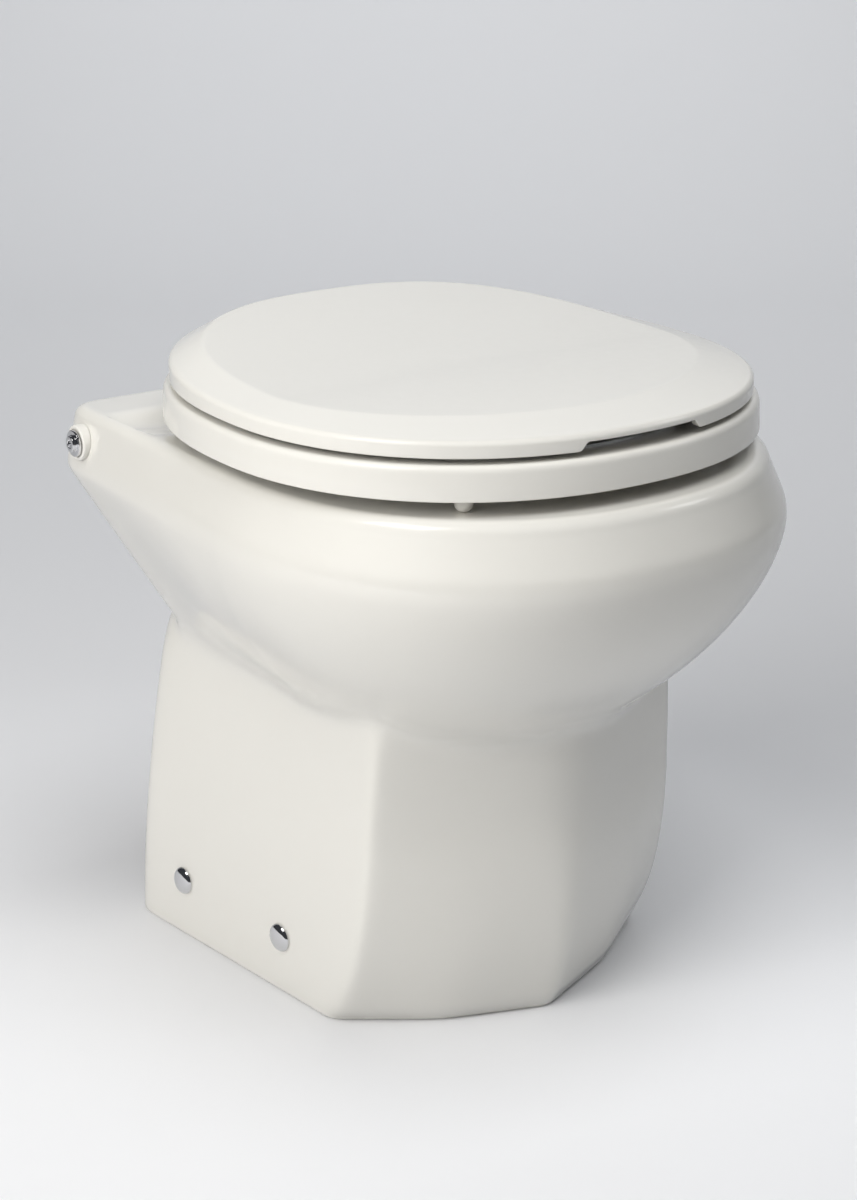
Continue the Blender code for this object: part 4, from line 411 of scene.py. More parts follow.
def cut(obj, *cutters, join=False, sharp=35):
    """Takes cutters away from a piece, or joins them to it, and removes them."""
    for cutter in cutters:
        change = obj.modifiers.new(cutter.name, "BOOLEAN")
        change.operation = "UNION" if join else "DIFFERENCE"
        change.solver = "EXACT"
        change.object = cutter
    bpy.context.view_layer.update()
    settle(obj, sharp)
    for cutter in cutters:
        bpy.data.objects.remove(cutter, do_unlink=True)


def flared(outline, levels):
    """Cutter rows from an outline of (u, v) moved along its normals, which point outwards where it runs
    counterclockwise: each level is (distance along local Z, amount moved)."""
    outline = np.asarray(outline, float)
    along = np.roll(outline, -1, axis=0) - np.roll(outline, 1, axis=0)
    normal = np.stack([along[:, 1], -along[:, 0]], axis=-1)
    normal /= np.linalg.norm(normal, axis=1)[:, None]
    rows = [np.column_stack([outline + normal * out, np.full(len(outline), z)]) for z, out in levels]
    return np.array(rows)


def arc(centre, radius, start, end, steps):
    angle = np.linspace(start, end, steps + 1)
    x, y = centre[0] + radius * np.cos(angle), centre[1] + radius * np.sin(angle)
    return np.stack([x, y], axis=-1).tolist()


def finish_piece(obj, finishes, body, slot, node):
    obj.data.materials.clear()
    obj.data.materials.append(finishes[slot])
    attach(obj, body)
    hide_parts(node)


def turned(
    finishes, node, ending, slot, corners, place, around=ROUND, steps=4, closed=False, body="pedestal"
):
    """Turned and finished piece in place of a node, named after it with an ending."""
    piece = lathe(f"{node}_{ending}", corners, place, around, steps, closed)
    finish_piece(piece, finishes, body, slot, node)
    return piece


# ---------------------------------------------------------------- ceramic form


def smoothstep(value, start, end):
    share = np.clip((value - start) / (end - start), 0.0, 1.0)
    return share * share * (3 - 2 * share)


def norm_min(ratios, power):
    """Nearest of several lines, rounded where two are alike: (sum of ratio^p)^(-1/p)."""
    with np.errstate(divide="ignore"):
        return np.sum(np.maximum(np.array(ratios), 0.0) ** power, axis=0) ** (-1.0 / power)


def edge_lines(theta, start, end):
    """Inverse distance from the plan centre to an edge of the right half and to its mirror image."""
    run_x, run_y = end[0] - start[0], end[1] - start[1]
    length = np.hypot(run_x, run_y)
    across_x, across_y = run_y / length, -run_x / length
    reach = across_x * start[0] + across_y * (start[1] - PLAN_Y)
    cos, sin = np.cos(theta), np.sin(theta)
    return [(across_x * cos + across_y * sin) / reach, (-across_x * cos + across_y * sin) / reach]


def egg(angle, oval, spread=0.0):
    """|x/a|^n + |y/b|^n = 1, with its own reach and power in front and behind, moved outwards by spread."""
    half, front, rear, front_power, rear_power, centre_y = oval
    cos, sin = np.cos(angle), np.sin(angle)
    power = np.where(sin > 0, rear_power, front_power)
    reach = np.where(sin > 0, rear, front) + spread
    x = (half + spread) * np.sign(cos) * np.abs(cos) ** (2 / power)
    return x, centre_y + reach * np.sign(sin) * np.abs(sin) ** (2 / power)


def polar(theta, x, y):
    """Radius of an outline about the plan centre in the directions theta."""
    angle = np.arctan2(y - PLAN_Y, x)
    order = np.argsort(angle)
    angle, radius = angle[order], np.hypot(x, y - PLAN_Y)[order]
    angle = np.concatenate([angle - 2 * np.pi, angle, angle + 2 * np.pi])
    return np.interp(theta, angle, np.tile(radius, 3))


def bowl_plan(theta, half, front_y, rear_half, rear_y):
    """Egg in front of the widest place and a rounded, narrowing block behind it."""
    reach = WIDEST_Y - front_y
    front = (half, reach, reach, FRONT_POWER, FRONT_POWER, WIDEST_Y)
    front_x, front_line = egg(np.linspace(-np.pi, 0, OUTLINE_POINTS), front)
    angle = np.linspace(0, np.pi, OUTLINE_POINTS)[1:-1]
    cos, sin = np.cos(angle), np.sin(angle)
    depth = rear_y - WIDEST_Y
    slope = (half - rear_half) / depth
    radius = norm_min([(cos + slope * sin) / half, (slope * sin - cos) / half, sin / depth], DECK_POWER)
    x = np.concatenate([front_x, radius * cos])
    y = np.concatenate([front_line, WIDEST_Y + radius * sin])
    return polar(theta, x, y)


def plans(theta):
    widest = bowl_plan(theta, BODY_HALF_WIDTH, -BODY_HALF_DEPTH, DECK_HALF_WIDTH, BODY_HALF_DEPTH)
    crest = bowl_plan(
        theta,
        BODY_HALF_WIDTH - CREST_SIDE_INSET,
        CREST_END_INSET - BODY_HALF_DEPTH,
        DECK_HALF_WIDTH - DECK_CREST_NARROWING,
        BODY_HALF_DEPTH - CREST_END_INSET / 2,
    )
    rim = bowl_plan(
        theta,
        BODY_HALF_WIDTH - RIM_SIDE_INSET,
        RIM_FRONT_INSET - BODY_HALF_DEPTH,
        DECK_HALF_WIDTH - DECK_RIM_NARROWING,
        BODY_HALF_DEPTH - RIM_REAR_INSET,
    )
    return widest, crest, rim


def pedestal_radius(theta, z):
    """Rounded polygon in plan: two bulged front faces meeting in a prow, side panels, chamfers, rear.
    Its corners lean forward with height as 1 - exp(-z / LEAN_HEIGHT), and get softer on their way up."""
    z = np.minimum(z, PEDESTAL_TOP)
    lean = 1 - np.exp(-z / LEAN_HEIGHT)
    narrowing = (z / NARROWING_HEIGHT) ** NARROWING_POWER
    prow = (0 * z, PROW_Y - PROW_LEAN * lean)
    corner = (SIDE_HALF - SIDE_NARROWING * narrowing, CORNER_Y - CORNER_LEAN * lean)
    bulge = BULGE - BULGE_LOSS * lean
    run = np.hypot(corner[0], corner[1] - prow[1])
    middle = (
        corner[0] / 2 + bulge * (corner[1] - prow[1]) / run,
        (corner[1] + prow[1]) / 2 - bulge * corner[0] / run,
    )
    rear = REAR_HALF - REAR_NARROWING * narrowing
    panel_end = (rear, PANEL_END_Y + 0 * z)
    rear_corner = (rear - REAR_CHAMFER, REAR_Y + 0 * z)
    softness = np.minimum(1.0, z / PROW_SOFT_HEIGHT)
    front = np.broadcast_arrays(*edge_lines(theta, prow, middle), *edge_lines(theta, middle, corner))
    lines = [1 / norm_min(front, PROW_POWER - PROW_POWER_LOSS * softness)]
    lines += edge_lines(theta, corner, panel_end)
    lines += edge_lines(theta, panel_end, rear_corner)
    lines += edge_lines(theta, rear_corner, (0 * z, REAR_Y + 0 * z))
    power = CORNER_POWER - CORNER_POWER_LOSS * smoothstep(z, *CORNER_SOFTENING)
    return norm_min(np.broadcast_arrays(*lines), power)


def bowl_radius(theta, z, shapes):
    """Straight flared band from rim to crest, then a belly, (1 - fall^p)^(1/q), in front, and a straight
    taper behind."""
    widest, crest, rim = shapes
    band = crest + (rim - crest) * (z - CREST_HEIGHT) / (RIM_HEIGHT - CREST_HEIGHT)
    share = np.clip((CREST_HEIGHT - z) / (CREST_HEIGHT - WIDEST_HEIGHT), 0, 1)
    turn = crest + (widest - crest) * (1 - (1 - share) ** 2)
    drop = np.maximum(WIDEST_HEIGHT - z, 0)
    fall = np.minimum(1.0, drop / BELLY_DEPTH)
    belly = (1 - fall**BELLY_FALL_POWER) ** (1 / BELLY_TURN_POWER)
    taper = 1 - DECK_TAPER * drop / DECK_TAPER_HEIGHT
    rear = smoothstep(np.sin(theta), *TAPER_BLEND)
    low = widest * (belly * (1 - rear) + taper * rear)
    return np.where(z >= CREST_HEIGHT, band, np.where(z >= WIDEST_HEIGHT, turn, low))


def joined(first, second, width=CREASE):
    near = np.maximum(width - np.abs(first - second), 0.0)
    return np.maximum(first, second) + near**2 / (4 * width)


def outer_radius(theta, z, shapes):
    return joined(pedestal_radius(theta, z), bowl_radius(theta, z, shapes))


def soft_outer(theta, z, shapes):
    """The outer radius averaged over a few millimetres of height, which rounds the crest and the crease."""
    near_crest = 0.0035 + 0.0035 * smoothstep(np.abs(z - CREST_HEIGHT), 0.0080, 0.0300)
    spread = np.clip(np.minimum(z - 0.1700, RIM_HEIGHT - RIM_ROUND - z) / 2, 0.0, near_crest)
    offsets, weights = (-1.0, -0.6, -0.25, 0.25, 0.6, 1.0), (0.09, 0.17, 0.24, 0.24, 0.17, 0.09)
    return sum(w * outer_radius(theta, z + spread * d, shapes) for d, w in zip(offsets, weights))


def inner_radius(theta, z, shapes):
    slope = np.clip((WIDEST_HEIGHT - z) / BELLY_DEPTH, 0.0, 1.0)
    pedestal = pedestal_radius(theta, z) - WALL
    return joined(pedestal, bowl_radius(theta, z, shapes) - WALL * (1 + slope))


def ring(theta, radius, z, centre_y=PLAN_Y):
    radius, z = np.broadcast_to(radius, theta.shape), np.broadcast_to(z, theta.shape)
    return np.stack([radius * np.cos(theta), centre_y + radius * np.sin(theta), z], axis=-1)


def basin_plan(theta, spread):
    return polar(theta, *egg(np.linspace(-np.pi, np.pi, OUTLINE_POINTS)[:-1], BASIN_OVAL, spread))


def plan_angles():
    """Angles round the plan, closer together where the pedestal's leaning corners pass: the inverse of the
    running sum of a density of 1 plus a bump at each corner."""
    even = np.linspace(-np.pi, np.pi, 7201)
    density = np.ones_like(even)
    for middle, width in ((-148, 16), (-90, 8), (-32, 16), (52, 12), (128, 12)):
        density += 1.4 * np.exp(-(((np.degrees(even) - middle) / width) ** 4))
    total = np.concatenate([[0.0], np.cumsum((density[1:] + density[:-1]) / 2)])
    return np.interp(np.linspace(0, total[-1], FINE, endpoint=False), total, even)


def outside_rows(theta, shapes):
    """Foot, outside and rounded rim, from the floor up. Rows lie closest where belly and pedestal meet."""
    foot = outer_radius(theta, 0.0, shapes)
    rows = [
        ring(theta, foot - FOOT_ROUND * (1 - np.sin(a)), FOOT_ROUND * (1 - np.cos(a)))
        for a in np.linspace(0, np.pi / 2, 5)[:, None]
    ]
    top = RIM_HEIGHT - RIM_ROUND
    runs = ((0.0045, 0.1590, 15), (0.1622, 0.2725, 72), (0.2755, 0.3380, 13), (0.3405, top, 20))
    heights = np.concatenate([np.linspace(*run) for run in runs])[:, None]
    rows += [ring(theta, r, z) for r, z in zip(soft_outer(theta[None], heights, shapes), heights)]
    band = outer_radius(theta, top, shapes)
    rim = shapes[2]
    for a in np.linspace(0, np.pi / 2, 8)[1:]:
        radius = band + (rim - band) * np.sin(a) * 0.5 - RIM_ROUND * (1 - np.cos(a))
        rows.append(ring(theta, radius, RIM_HEIGHT - RIM_ROUND * (1 - np.sin(a))))
    return rows, band + (rim - band) * 0.5 - RIM_ROUND


def deck_rows(theta, edge, deck):
    """Top of the rim and deck, from the edge inwards, with a dip in the deck, and the basin's rounded lip."""
    lip, mouth = basin_plan(theta, BASIN_LIP), basin_plan(theta, 0.0)
    rows = []
    for share in np.linspace(0, 1, 30)[1:]:
        radius = edge + (lip - edge) * share
        y = PLAN_Y + radius * np.sin(theta)
        dip = DECK_DIP * deck * (1 - smoothstep(y, 0.1400, 0.1720))
        rows.append(ring(theta, radius, RIM_HEIGHT - dip))
    dip = DECK_DIP * deck
    for a in np.linspace(0, np.pi / 2, 9)[1:]:
        z = RIM_HEIGHT - dip - BASIN_LIP * (1 - np.cos(a))
        rows.append(ring(theta, lip + (mouth - lip) * np.sin(a), z))
    return rows


def basin_rows(theta):
    """Inside of the basin down to the spigot's end, and its underside back up to the rim's ceiling."""
    mouth, wide = basin_plan(theta, 0.0), basin_plan(theta, BASIN_SPREAD)
    narrow = basin_plan(theta, BASIN_SPREAD + WALL)
    skirt = [ring(theta, mouth, 0.3500), ring(theta, mouth + 0.0030, 0.3470), ring(theta, wide, BASIN_TOP)]
    inside, outside = [], []
    for inward, down in BASIN_CURVE:
        z = BASIN_TOP + (BASIN_LOW - BASIN_TOP) * down
        inside.append(ring(theta, wide, z) * (1 - inward) + ring(theta, SPIGOT_BORE, z, PUMP_Y) * inward)
        z -= 0.0120 * inward
        outside.append(ring(theta, narrow, z) * (1 - inward) + ring(theta, SPIGOT_RADIUS, z, PUMP_Y) * inward)
    ends = [ring(theta, radius, SPIGOT_LOW, PUMP_Y) for radius in (SPIGOT_BORE, SPIGOT_RADIUS)]
    basin = rounded(skirt + inside[1:] + ends[:1], (0, 0.003, 0.006, 0.03, 0.03, 0.03, 0.03, 0.015, 0), 4)
    under = rounded([ends[1]] + outside[::-1][:-1], (0, 0.012, 0.03, 0.03, 0.03, 0.0), 3)
    return [basin, under]


def hollow_rows(theta, shapes, deck):
    """Inside of the casting, from the basin's underside over the ceiling and down to the floor."""
    narrow = basin_plan(theta, BASIN_SPREAD + WALL)
    ceiling = CEILING + (DECK_CEILING - CEILING) * deck
    rows = [ring(theta, narrow, ceiling - WALL), ring(theta, narrow + WALL / 2, ceiling)]
    rows.append(ring(theta, inner_radius(theta, ceiling, shapes) - WALL / 2, ceiling))
    low = WIDEST_HEIGHT - 4 * WALL
    z = ceiling + (low - ceiling) * 0.45
    rows.append(ring(theta, inner_radius(theta, z, shapes), z))
    levels = np.concatenate([np.linspace(low, 0.1600, 10), np.linspace(0.1300, 0.0, 3)])[:, None]
    return rows + [ring(theta, r, z) for r, z in zip(inner_radius(theta[None], levels, shapes), levels)]


def ceramic_rows():
    """Rows of the whole casting, a closed loop."""
    theta = plan_angles()
    shapes = plans(theta)
    deck = smoothstep(np.sin(theta), *DECK_BLEND)
    outside, edge = outside_rows(theta, shapes)
    top = deck_rows(theta, edge, deck)
    return np.concatenate([outside + top, *basin_rows(theta), hollow_rows(theta, shapes, deck)])


def side_point(side, y, z):
    """Place on the pedestal's side panel whose local Z is the panel's outward normal."""
    theta = np.radians(np.linspace(-60, 60, 2401))

    def x_at(at_y, at_z):
        radius = pedestal_radius(theta, np.float64(at_z))
        return float(np.interp(at_y, PLAN_Y + radius * np.sin(theta), radius * np.cos(theta)))

    step = 0.0100
    along = Vector((x_at(y + step, z) - x_at(y - step, z), 2 * step, 0))
    upward = Vector((x_at(y, z + step) - x_at(y, z - step), 0, 2 * step))
    normal = along.cross(upward).normalized()
    point = Vector((x_at(y, z), y, z))
    if side < 0:
        point.x, normal.x = -point.x, -normal.x
    across = Vector((0, 0, 1)).cross(normal).normalized()
    turn = Matrix((across, normal.cross(across), normal)).transposed().to_4x4()
    return Matrix.Translation(point) @ turn


def fixing_places():
    for side, side_name in SIDES:
        for y, end_name in FIXING_ENDS:
            yield f"{end_name}_{side_name}", side_point(side, y, FIXING_Z)


def trough_cutter():
    """Slot between the two cheeks, its top flared into a quarter round where it meets the deck."""
    half, low, r, flare = TROUGH_HALF, TROUGH_FLOOR, 0.0080, 0.0028
    deck = RIM_HEIGHT + 0.00004
    outline = arc((half - r, low + r), r, -np.pi / 2, 0, 10)
    outline += arc((half + flare, deck - flare), flare, np.pi, np.pi / 2, 8)
    outline += [(half + flare, deck + 0.0200), (-half - flare, deck + 0.0200)]
    outline += [(-x, z) for x, z in outline[::-1][2:]]
    return plate("trough_cutter", np.array(outline) * (1, -1), TROUGH_FRONT, 0.2300, axis_y(), 0)


def arch_cutter():
    """Arched opening in the rear wall, open to the floor, its outer edge flared into a quarter round. Its
    outline runs clockwise, so a negative amount flares it."""
    half, top, r, edge = ARCH_HALF, ARCH_TOP, ARCH_ROUND, 0.0022
    outline = [(half, -0.0200)] + [(half, z) for z in np.linspace(-0.001, top - r, 12)[:-1]]
    outline += arc((half - r, top - r), r, 0, np.pi / 2, 20)
    outline += arc((-half + r, top - r), r, np.pi / 2, np.pi, 20)
    outline += [(-half, z) for z in np.linspace(top - r, -0.001, 12)[1:]] + [(-half, -0.0200)]
    start = REAR_Y - edge
    levels = [(0.1500, 0.0), (start, 0.0)]
    levels += [(start + edge * np.sin(a), -edge * (1 - np.cos(a))) for a in np.linspace(0, np.pi / 2, 6)[1:]]
    levels += [(REAR_Y + 0.0150, -edge)]
    return skin("arch_cutter", placed(flared(np.array(outline) * (1, -1), levels), axis_y()))


def rod_cutter(name, radius, start, end, place, around=64):
    return lathe(name, [(0, start, 0), (radius, start, 0), (radius, end, 0), (0, end, 0)], place, around)


def nozzle_inner_y():
    """Y of the basin's inner face behind, at the nozzle's height."""
    mouth = PLAN_Y + float(basin_plan(np.array([np.pi / 2]), BASIN_SPREAD)[0])
    inward, down = zip(*BASIN_CURVE[:3])
    share = float(np.interp((BASIN_TOP - NOZZLE_Z) / (BASIN_TOP - BASIN_LOW), down, inward))
    return mouth * (1 - share) + (PUMP_Y + SPIGOT_BORE) * share


def make_ceramic(finishes):
    body = skin("ceramic_body", ceramic_rows(), closed=True, fine=True)
    cutters = [trough_cutter(), arch_cutter()]
    cutters.append(rod_cutter("hinge_bore", HINGE_BORE, -0.21, 0.21, axis_x(0, HINGE_Y, HINGE_Z)))
    for name, place in fixing_places():
        cutters.append(rod_cutter(f"bore_{name}", SCREW_BORE, -0.0250, 0.0120, place, 32))
    nozzle = axis_y(0, nozzle_inner_y(), NOZZLE_Z)
    cutters.append(rod_cutter("nozzle_bore", NOZZLE_BORE, -0.0120, 0.0220, nozzle))
    cut(body, *cutters, sharp=55)
    body.cycles.shadow_terminator_geometry_offset = 0.4
    body.cycles.shadow_terminator_offset = 0.1
    finish_piece(body, finishes, "pedestal", "ceramic", "bowl_pedestal")


# ---------------------------------------------------------------- seat and lid


def level(outline, z):
    x, y = outline
    return np.stack([x, y, np.broadcast_to(z, x.shape)], axis=-1)


def plateau_outline(angle, share):
    x, y = egg(angle, PLATEAU_OVAL)
    centre = PLATEAU_OVAL[-1]
    return x * share, centre + (y - centre) * share


def lid_lift(y):
    """The lid's top sweeps up towards the hinge as a power of the distance."""
    return LID_LIFT * np.maximum(0.0, (y - LIFT_START_Y) / LIFT_RUN) ** LIFT_POWER


def notch_rise(x, y):
    """Height of the skirt's lower edge over its level: a flat notch in front, with short slanted ends."""
    return np.where(y < -0.1, NOTCH_RISE * smoothstep(NOTCH_HALF - np.abs(x), 0.0, NOTCH_SLANT), 0.0)


def lid_rows():
    """From the middle of the lid's underside over its skirt to the middle of its plateau."""
    angle = np.linspace(-np.pi, np.pi, 720, endpoint=False)
    edge, inner, soft = (egg(angle, LID_OVAL, spread) for spread in (0.0, -0.0060, -0.0020))
    flat = plateau_outline(angle, 1.0)
    wall_top = LID_EDGE + LID_WALL

    def between(share, drop):
        x = soft[0] + (flat[0] - soft[0]) * share
        y = soft[1] + (flat[1] - soft[1]) * share
        low = wall_top + 0.0020 + lid_lift(soft[1]) * LID_SIDE_LIFT
        high = PLATEAU_HEIGHT + lid_lift(flat[1])
        return level((x, y), low + (high - low) * share - drop)

    def inside(share, drop):
        x, y = plateau_outline(angle, share)
        dome = 0.0008 * (1 - share**2)
        return level((x, y), PLATEAU_HEIGHT + lid_lift(y) - drop + dome)

    hollow = LID_EDGE + NOTCH_RISE + 0.0004 + lid_lift(inner[1]) * LID_SIDE_LIFT
    control = [inside(s, LID_SKIN) for s in (0.02, 0.3, 0.6, 0.85, 0.97)]
    control += [between(0.5, LID_SKIN), level(inner, hollow)]
    control += [level(outline, LID_EDGE + notch_rise(*outline)) for outline in (inner, edge)]
    control += [level(edge, wall_top + lid_lift(edge[1]) * LID_SIDE_LIFT)]
    control += [between(s, 0.0) for s in (0.0, 0.35, 0.7, 1.0)]
    control += [inside(s, 0.0) for s in (0.93, 0.8, 0.6, 0.4, 0.2, 0.02)]
    cuts = [0.0] + [0.02] * 3 + [0.006, 0.01, 0.0015, 0.0008, 0.0009, 0.0013, 0.0013]
    cuts += [0.008, 0.008, 0.0018] + [0.02] * 5 + [0.0]
    return rounded(control, cuts, 5)


def seat_outline(angle, spread):
    """The lid's outline, 5 mm larger, cut off straight in front of the hinge with rounded corners."""
    x, y = egg(angle, LID_OVAL, 0.0050 + spread)
    end = SEAT_REAR + spread
    near = np.maximum(0.0120 - np.abs(y - end), 0.0)
    return x, np.minimum(y, end) - near**2 / 0.0480


def seat_drop(share):
    """How far the seat's top falls on its way in from the outer edge."""
    return 0.0070 * share**2.5


def seat_rows():
    """Section of the seat as a closed loop: outer wall, falling top, opening, and the hollow underside."""
    angle = np.linspace(-np.pi, np.pi, 540, endpoint=False)
    opening, recess = egg(angle, OPENING_OVAL), egg(angle, OPENING_OVAL, 0.0100)
    hollow = SEAT_LOW + 0.0083

    def across(share):
        z = SEAT_TOP - seat_drop(share)
        inner = level(egg(angle, OPENING_OVAL, 0.0050), z)
        return level(seat_outline(angle, -0.0040), z) * (1 - share) + inner * share

    control = [level(seat_outline(angle, 0.0), SEAT_LOW), level(seat_outline(angle, -0.0010), SEAT_TOP)]
    control += [across(share) for share in (0.18, 0.36, 0.54, 0.72, 0.88)]
    control += [level(opening, SEAT_TOP - 0.0070), level(opening, SEAT_LOW + 0.0020)]
    control += [level(recess, SEAT_LOW + 0.0030), level(recess, hollow)]
    control += [level(seat_outline(angle, -0.0080), hollow), level(seat_outline(angle, -0.0070), SEAT_LOW)]
    cuts = [0.0010, 0.0048, 0.02, 0.02, 0.02, 0.02, 0.02, 0.0070, 0.0030, 0.0030, 0.002, 0.002, 0.0010]
    return rounded(control, cuts, 6, closed=True)


def make_bumper(finishes, node, body, x, y, foot, top, radius):
    """Moulded stud with a domed foot and a slight root."""
    corners = [
        (0, foot, 0),
        (radius * 0.55, foot, 0.0014),
        (radius * 0.96, foot + radius * 0.45, 0.0022),
        (radius, top - 0.0020, 0.0010),
        (radius * 1.10, top, 0.0004),
        (0, top, 0),
    ]
    turned(finishes, node, "stud", "white_plastic", corners, axis_z(x, y), 48, body=body)


def seat_height(x, y):
    """Height of the seat's top over a place: the drop of the nearest of its cross lines."""
    angle = np.linspace(-np.pi, np.pi, 361)
    outer = np.stack(seat_outline(angle, -0.0040), axis=-1)
    inner = np.stack(egg(angle, OPENING_OVAL, 0.0050), axis=-1)
    spread = np.linspace(0, 1, 41)[:, None, None]
    lines = outer * (1 - spread) + inner * spread
    nearest = np.unravel_index(np.hypot(lines[..., 0] - x, lines[..., 1] - y).argmin(), lines.shape[:2])
    return SEAT_TOP - seat_drop(nearest[0] / 40)


def make_seat_and_lid(finishes):
    lid = skin("lid_shell", lid_rows())
    lid.data.set_sharp_from_angle(angle=math.radians(50))
    finish_piece(lid, finishes, "lid", "seat_plastic", "lid_cover")
    seat = skin("seat_shell", seat_rows(), closed=True)
    finish_piece(seat, finishes, "seat", "seat_plastic", "seat_ring")
    for side, side_name in SIDES:
        for degrees, end_name in ((-126, "front"), (150, "rear")):
            x, y = seat_outline(np.array([math.radians(degrees)]), -0.0150)
            x, y = abs(float(x[0])) * side, float(y[0])
            node = f"seat_bumper_{end_name}_{side_name}"
            foot, top = RIM_HEIGHT + GAP, SEAT_LOW + 0.0080
            make_bumper(finishes, node, "seat", x, y, foot, top, SEAT_BUMPER_RADIUS)
        for x, y, end_name in ((0.1120, -0.0880, "front"), (0.1160, 0.0800, "rear")):
            lift = float(lid_lift(np.float64(y - LID_BUMPER_RADIUS)))
            node = f"lid_bumper_{end_name}_{side_name}"
            foot, top = seat_height(x, y) + GAP, PLATEAU_HEIGHT + lift - LID_SKIN - GAP
            make_bumper(finishes, node, "lid", side * x, y, foot, top, LID_BUMPER_RADIUS)
        make_arms(finishes, side, side_name)


def make_arms(finishes, side, side_name):
    """Hinge arms: side outlines of (y, z) carried across their width, with rounded edges and a bored eye."""
    front, low_seat = 0.1050, SEAT_LOW - 0.0006
    high_seat = SEAT_LOW + 0.0080
    inside = SEAT_REAR - 0.0080 - 0.0025
    outline = [(front, low_seat - 0.0060), (front, high_seat), (inside, high_seat), (inside, low_seat)]
    outline += [(SEAT_REAR + 0.0060, low_seat), (SEAT_REAR + 0.0100, low_seat - 0.0012)]
    outline += arc((HINGE_Y, HINGE_Z), EYE_RADIUS, math.radians(40), math.radians(-160), 28)
    outline += [(SEAT_REAR + 0.0045, low_seat - 0.0110), (SEAT_REAR - 0.0010, low_seat - 0.0060)]
    add_arm(finishes, f"seat_hinge_arm_{side_name}", outline, side * 0.0790, "seat")
    bend, strap_front, strap_rear = 0.1490, 0.1630, 0.1720
    top_front, top_rear = (PLATEAU_HEIGHT + float(lid_lift(np.float64(y))) - 0.0061 for y in (front, bend))
    low, eye_top = top_front - 0.0070, HINGE_Z + 0.0210
    outline = [(front, low), (front, top_front), (bend, top_rear), (strap_front, top_rear - 0.0070)]
    outline += [(strap_rear, top_rear - 0.0140), (strap_rear, eye_top)]
    outline += arc((HINGE_Y, HINGE_Z), EYE_RADIUS, math.radians(75), math.radians(-165), 28)
    outline += [(strap_front, eye_top), (strap_front, low - 0.0070), (strap_front - 0.0070, low)]
    add_arm(finishes, f"lid_hinge_arm_{side_name}", outline, side * 0.0590, "lid")


def add_arm(finishes, node, outline, x, body):
    turn = Matrix(((0, 0, 1), (1, 0, 0), (0, 1, 0))).to_4x4()
    half_width = 0.0090
    place = Matrix.Translation((x, 0, 0)) @ turn
    arm = plate(f"{node}_moulding", outline[::-1], -half_width, half_width, place, 0.0012)
    settle(arm)
    cut(arm, rod_cutter(f"{node}_eye", EYE_BORE, -0.02, 0.02, axis_x(x, HINGE_Y, HINGE_Z), 48))
    finish_piece(arm, finishes, body, "seat_plastic", node)


# ---------------------------------------------------------------- hinge ends and fixings


def deck_x(y, z, theta, shapes):
    """X of the deck's right side at a place, from the outline in front of its rear face."""
    radius = bowl_radius(theta, z, shapes)
    keep = PLAN_Y + radius * np.sin(theta) <= REAR_Y
    return float(np.interp(y, (PLAN_Y + radius * np.sin(theta))[keep], (radius * np.cos(theta))[keep]))


def make_hinge_ends(finishes):
    """Flanged bushes, whose flanges follow the deck's sides, with an end screw in each, and the rod."""
    theta = np.radians(np.linspace(0, 75, 1501))
    shapes = plans(theta)
    wall_x = deck_x(HINGE_Y, HINGE_Z, theta, shapes)
    root, floor = wall_x + 0.0001, HINGE_FACE - 0.0010
    start = HINGE_FACE + GAP
    bush_corners = [
        (0.0043, wall_x - 0.0300, 0),
        (0.0100, wall_x - 0.0300, 0.001),
        (0.0100, wall_x, 0),
        (0.0123, root, 0),
        (0.0123, HINGE_FACE, 0.0016),
        (0.0098, HINGE_FACE, 0.0003),
        (0.0098, floor, 0),
        (0.0043, floor, 0),
    ]
    screw_corners = [
        (0, start, 0),
        (0.0093, start, 0.0004),
        (0.0093, start + 0.0022, 0.0008),
        (0.0060, start + 0.0019, 0.0004),
        (0.0056, start + 0.0046, 0.0007),
        (0.0030, start + 0.0046, 0.0004),
        (0.0026, start + 0.0018, 0.0002),
        (0, start + 0.0018, 0),
    ]
    for side, side_name in SIDES:
        place = axis_x(0, HINGE_Y, HINGE_Z, side)
        rows = revolve(bush_corners, Matrix.Identity(4), ROUND, 5, True)
        near = np.isclose(rows[..., 2], root)
        points = rows[near]
        seat = np.array([deck_x(HINGE_Y + side * u, HINGE_Z + v, theta, shapes) for u, v in points[:, :2]])
        rows[near] = np.column_stack([points[:, :2], np.minimum(seat + GAP, HINGE_FACE - 0.0022)])
        bush = skin(f"hinge_bush_{side_name}_moulding", placed(rows, place), closed=True)
        bush.data.set_sharp_from_angle(angle=math.radians(40))
        finish_piece(bush, finishes, "pedestal", "white_plastic", f"hinge_bush_{side_name}")
        turned(finishes, f"hinge_end_screw_{side_name}", "turned", "chrome", screw_corners, place)
    end, radius, edge = floor - 0.0002, 0.0040, 0.0006
    corners = [(0, -end, 0), (radius, -end, edge), (radius, end, edge), (0, end, 0)]
    turned(finishes, "hinge_rod", "bar", "steel", corners, axis_x(0, HINGE_Y, HINGE_Z), 48)


def make_caps(finishes):
    """Domed chrome caps over the side screws, hollow where the screw's head sits."""
    corners = [
        (0, 0.0031, 0),
        (0.0070, 0.0031, 0.0005),
        (0.0070, GAP, 0.0002),
        (0.0100, GAP, 0.0002),
        (0.0100, 0.0012, 0.0006),
        (0.0088, 0.0029, 0.0012),
        (0.0060, 0.0041, 0.0014),
        (0.0025, 0.0045, 0.001),
        (0, 0.0045, 0),
    ]
    for name, place in fixing_places():
        turned(finishes, f"screw_cap_{name}", "dome", "chrome", corners, place)


# ---------------------------------------------------------------- studio


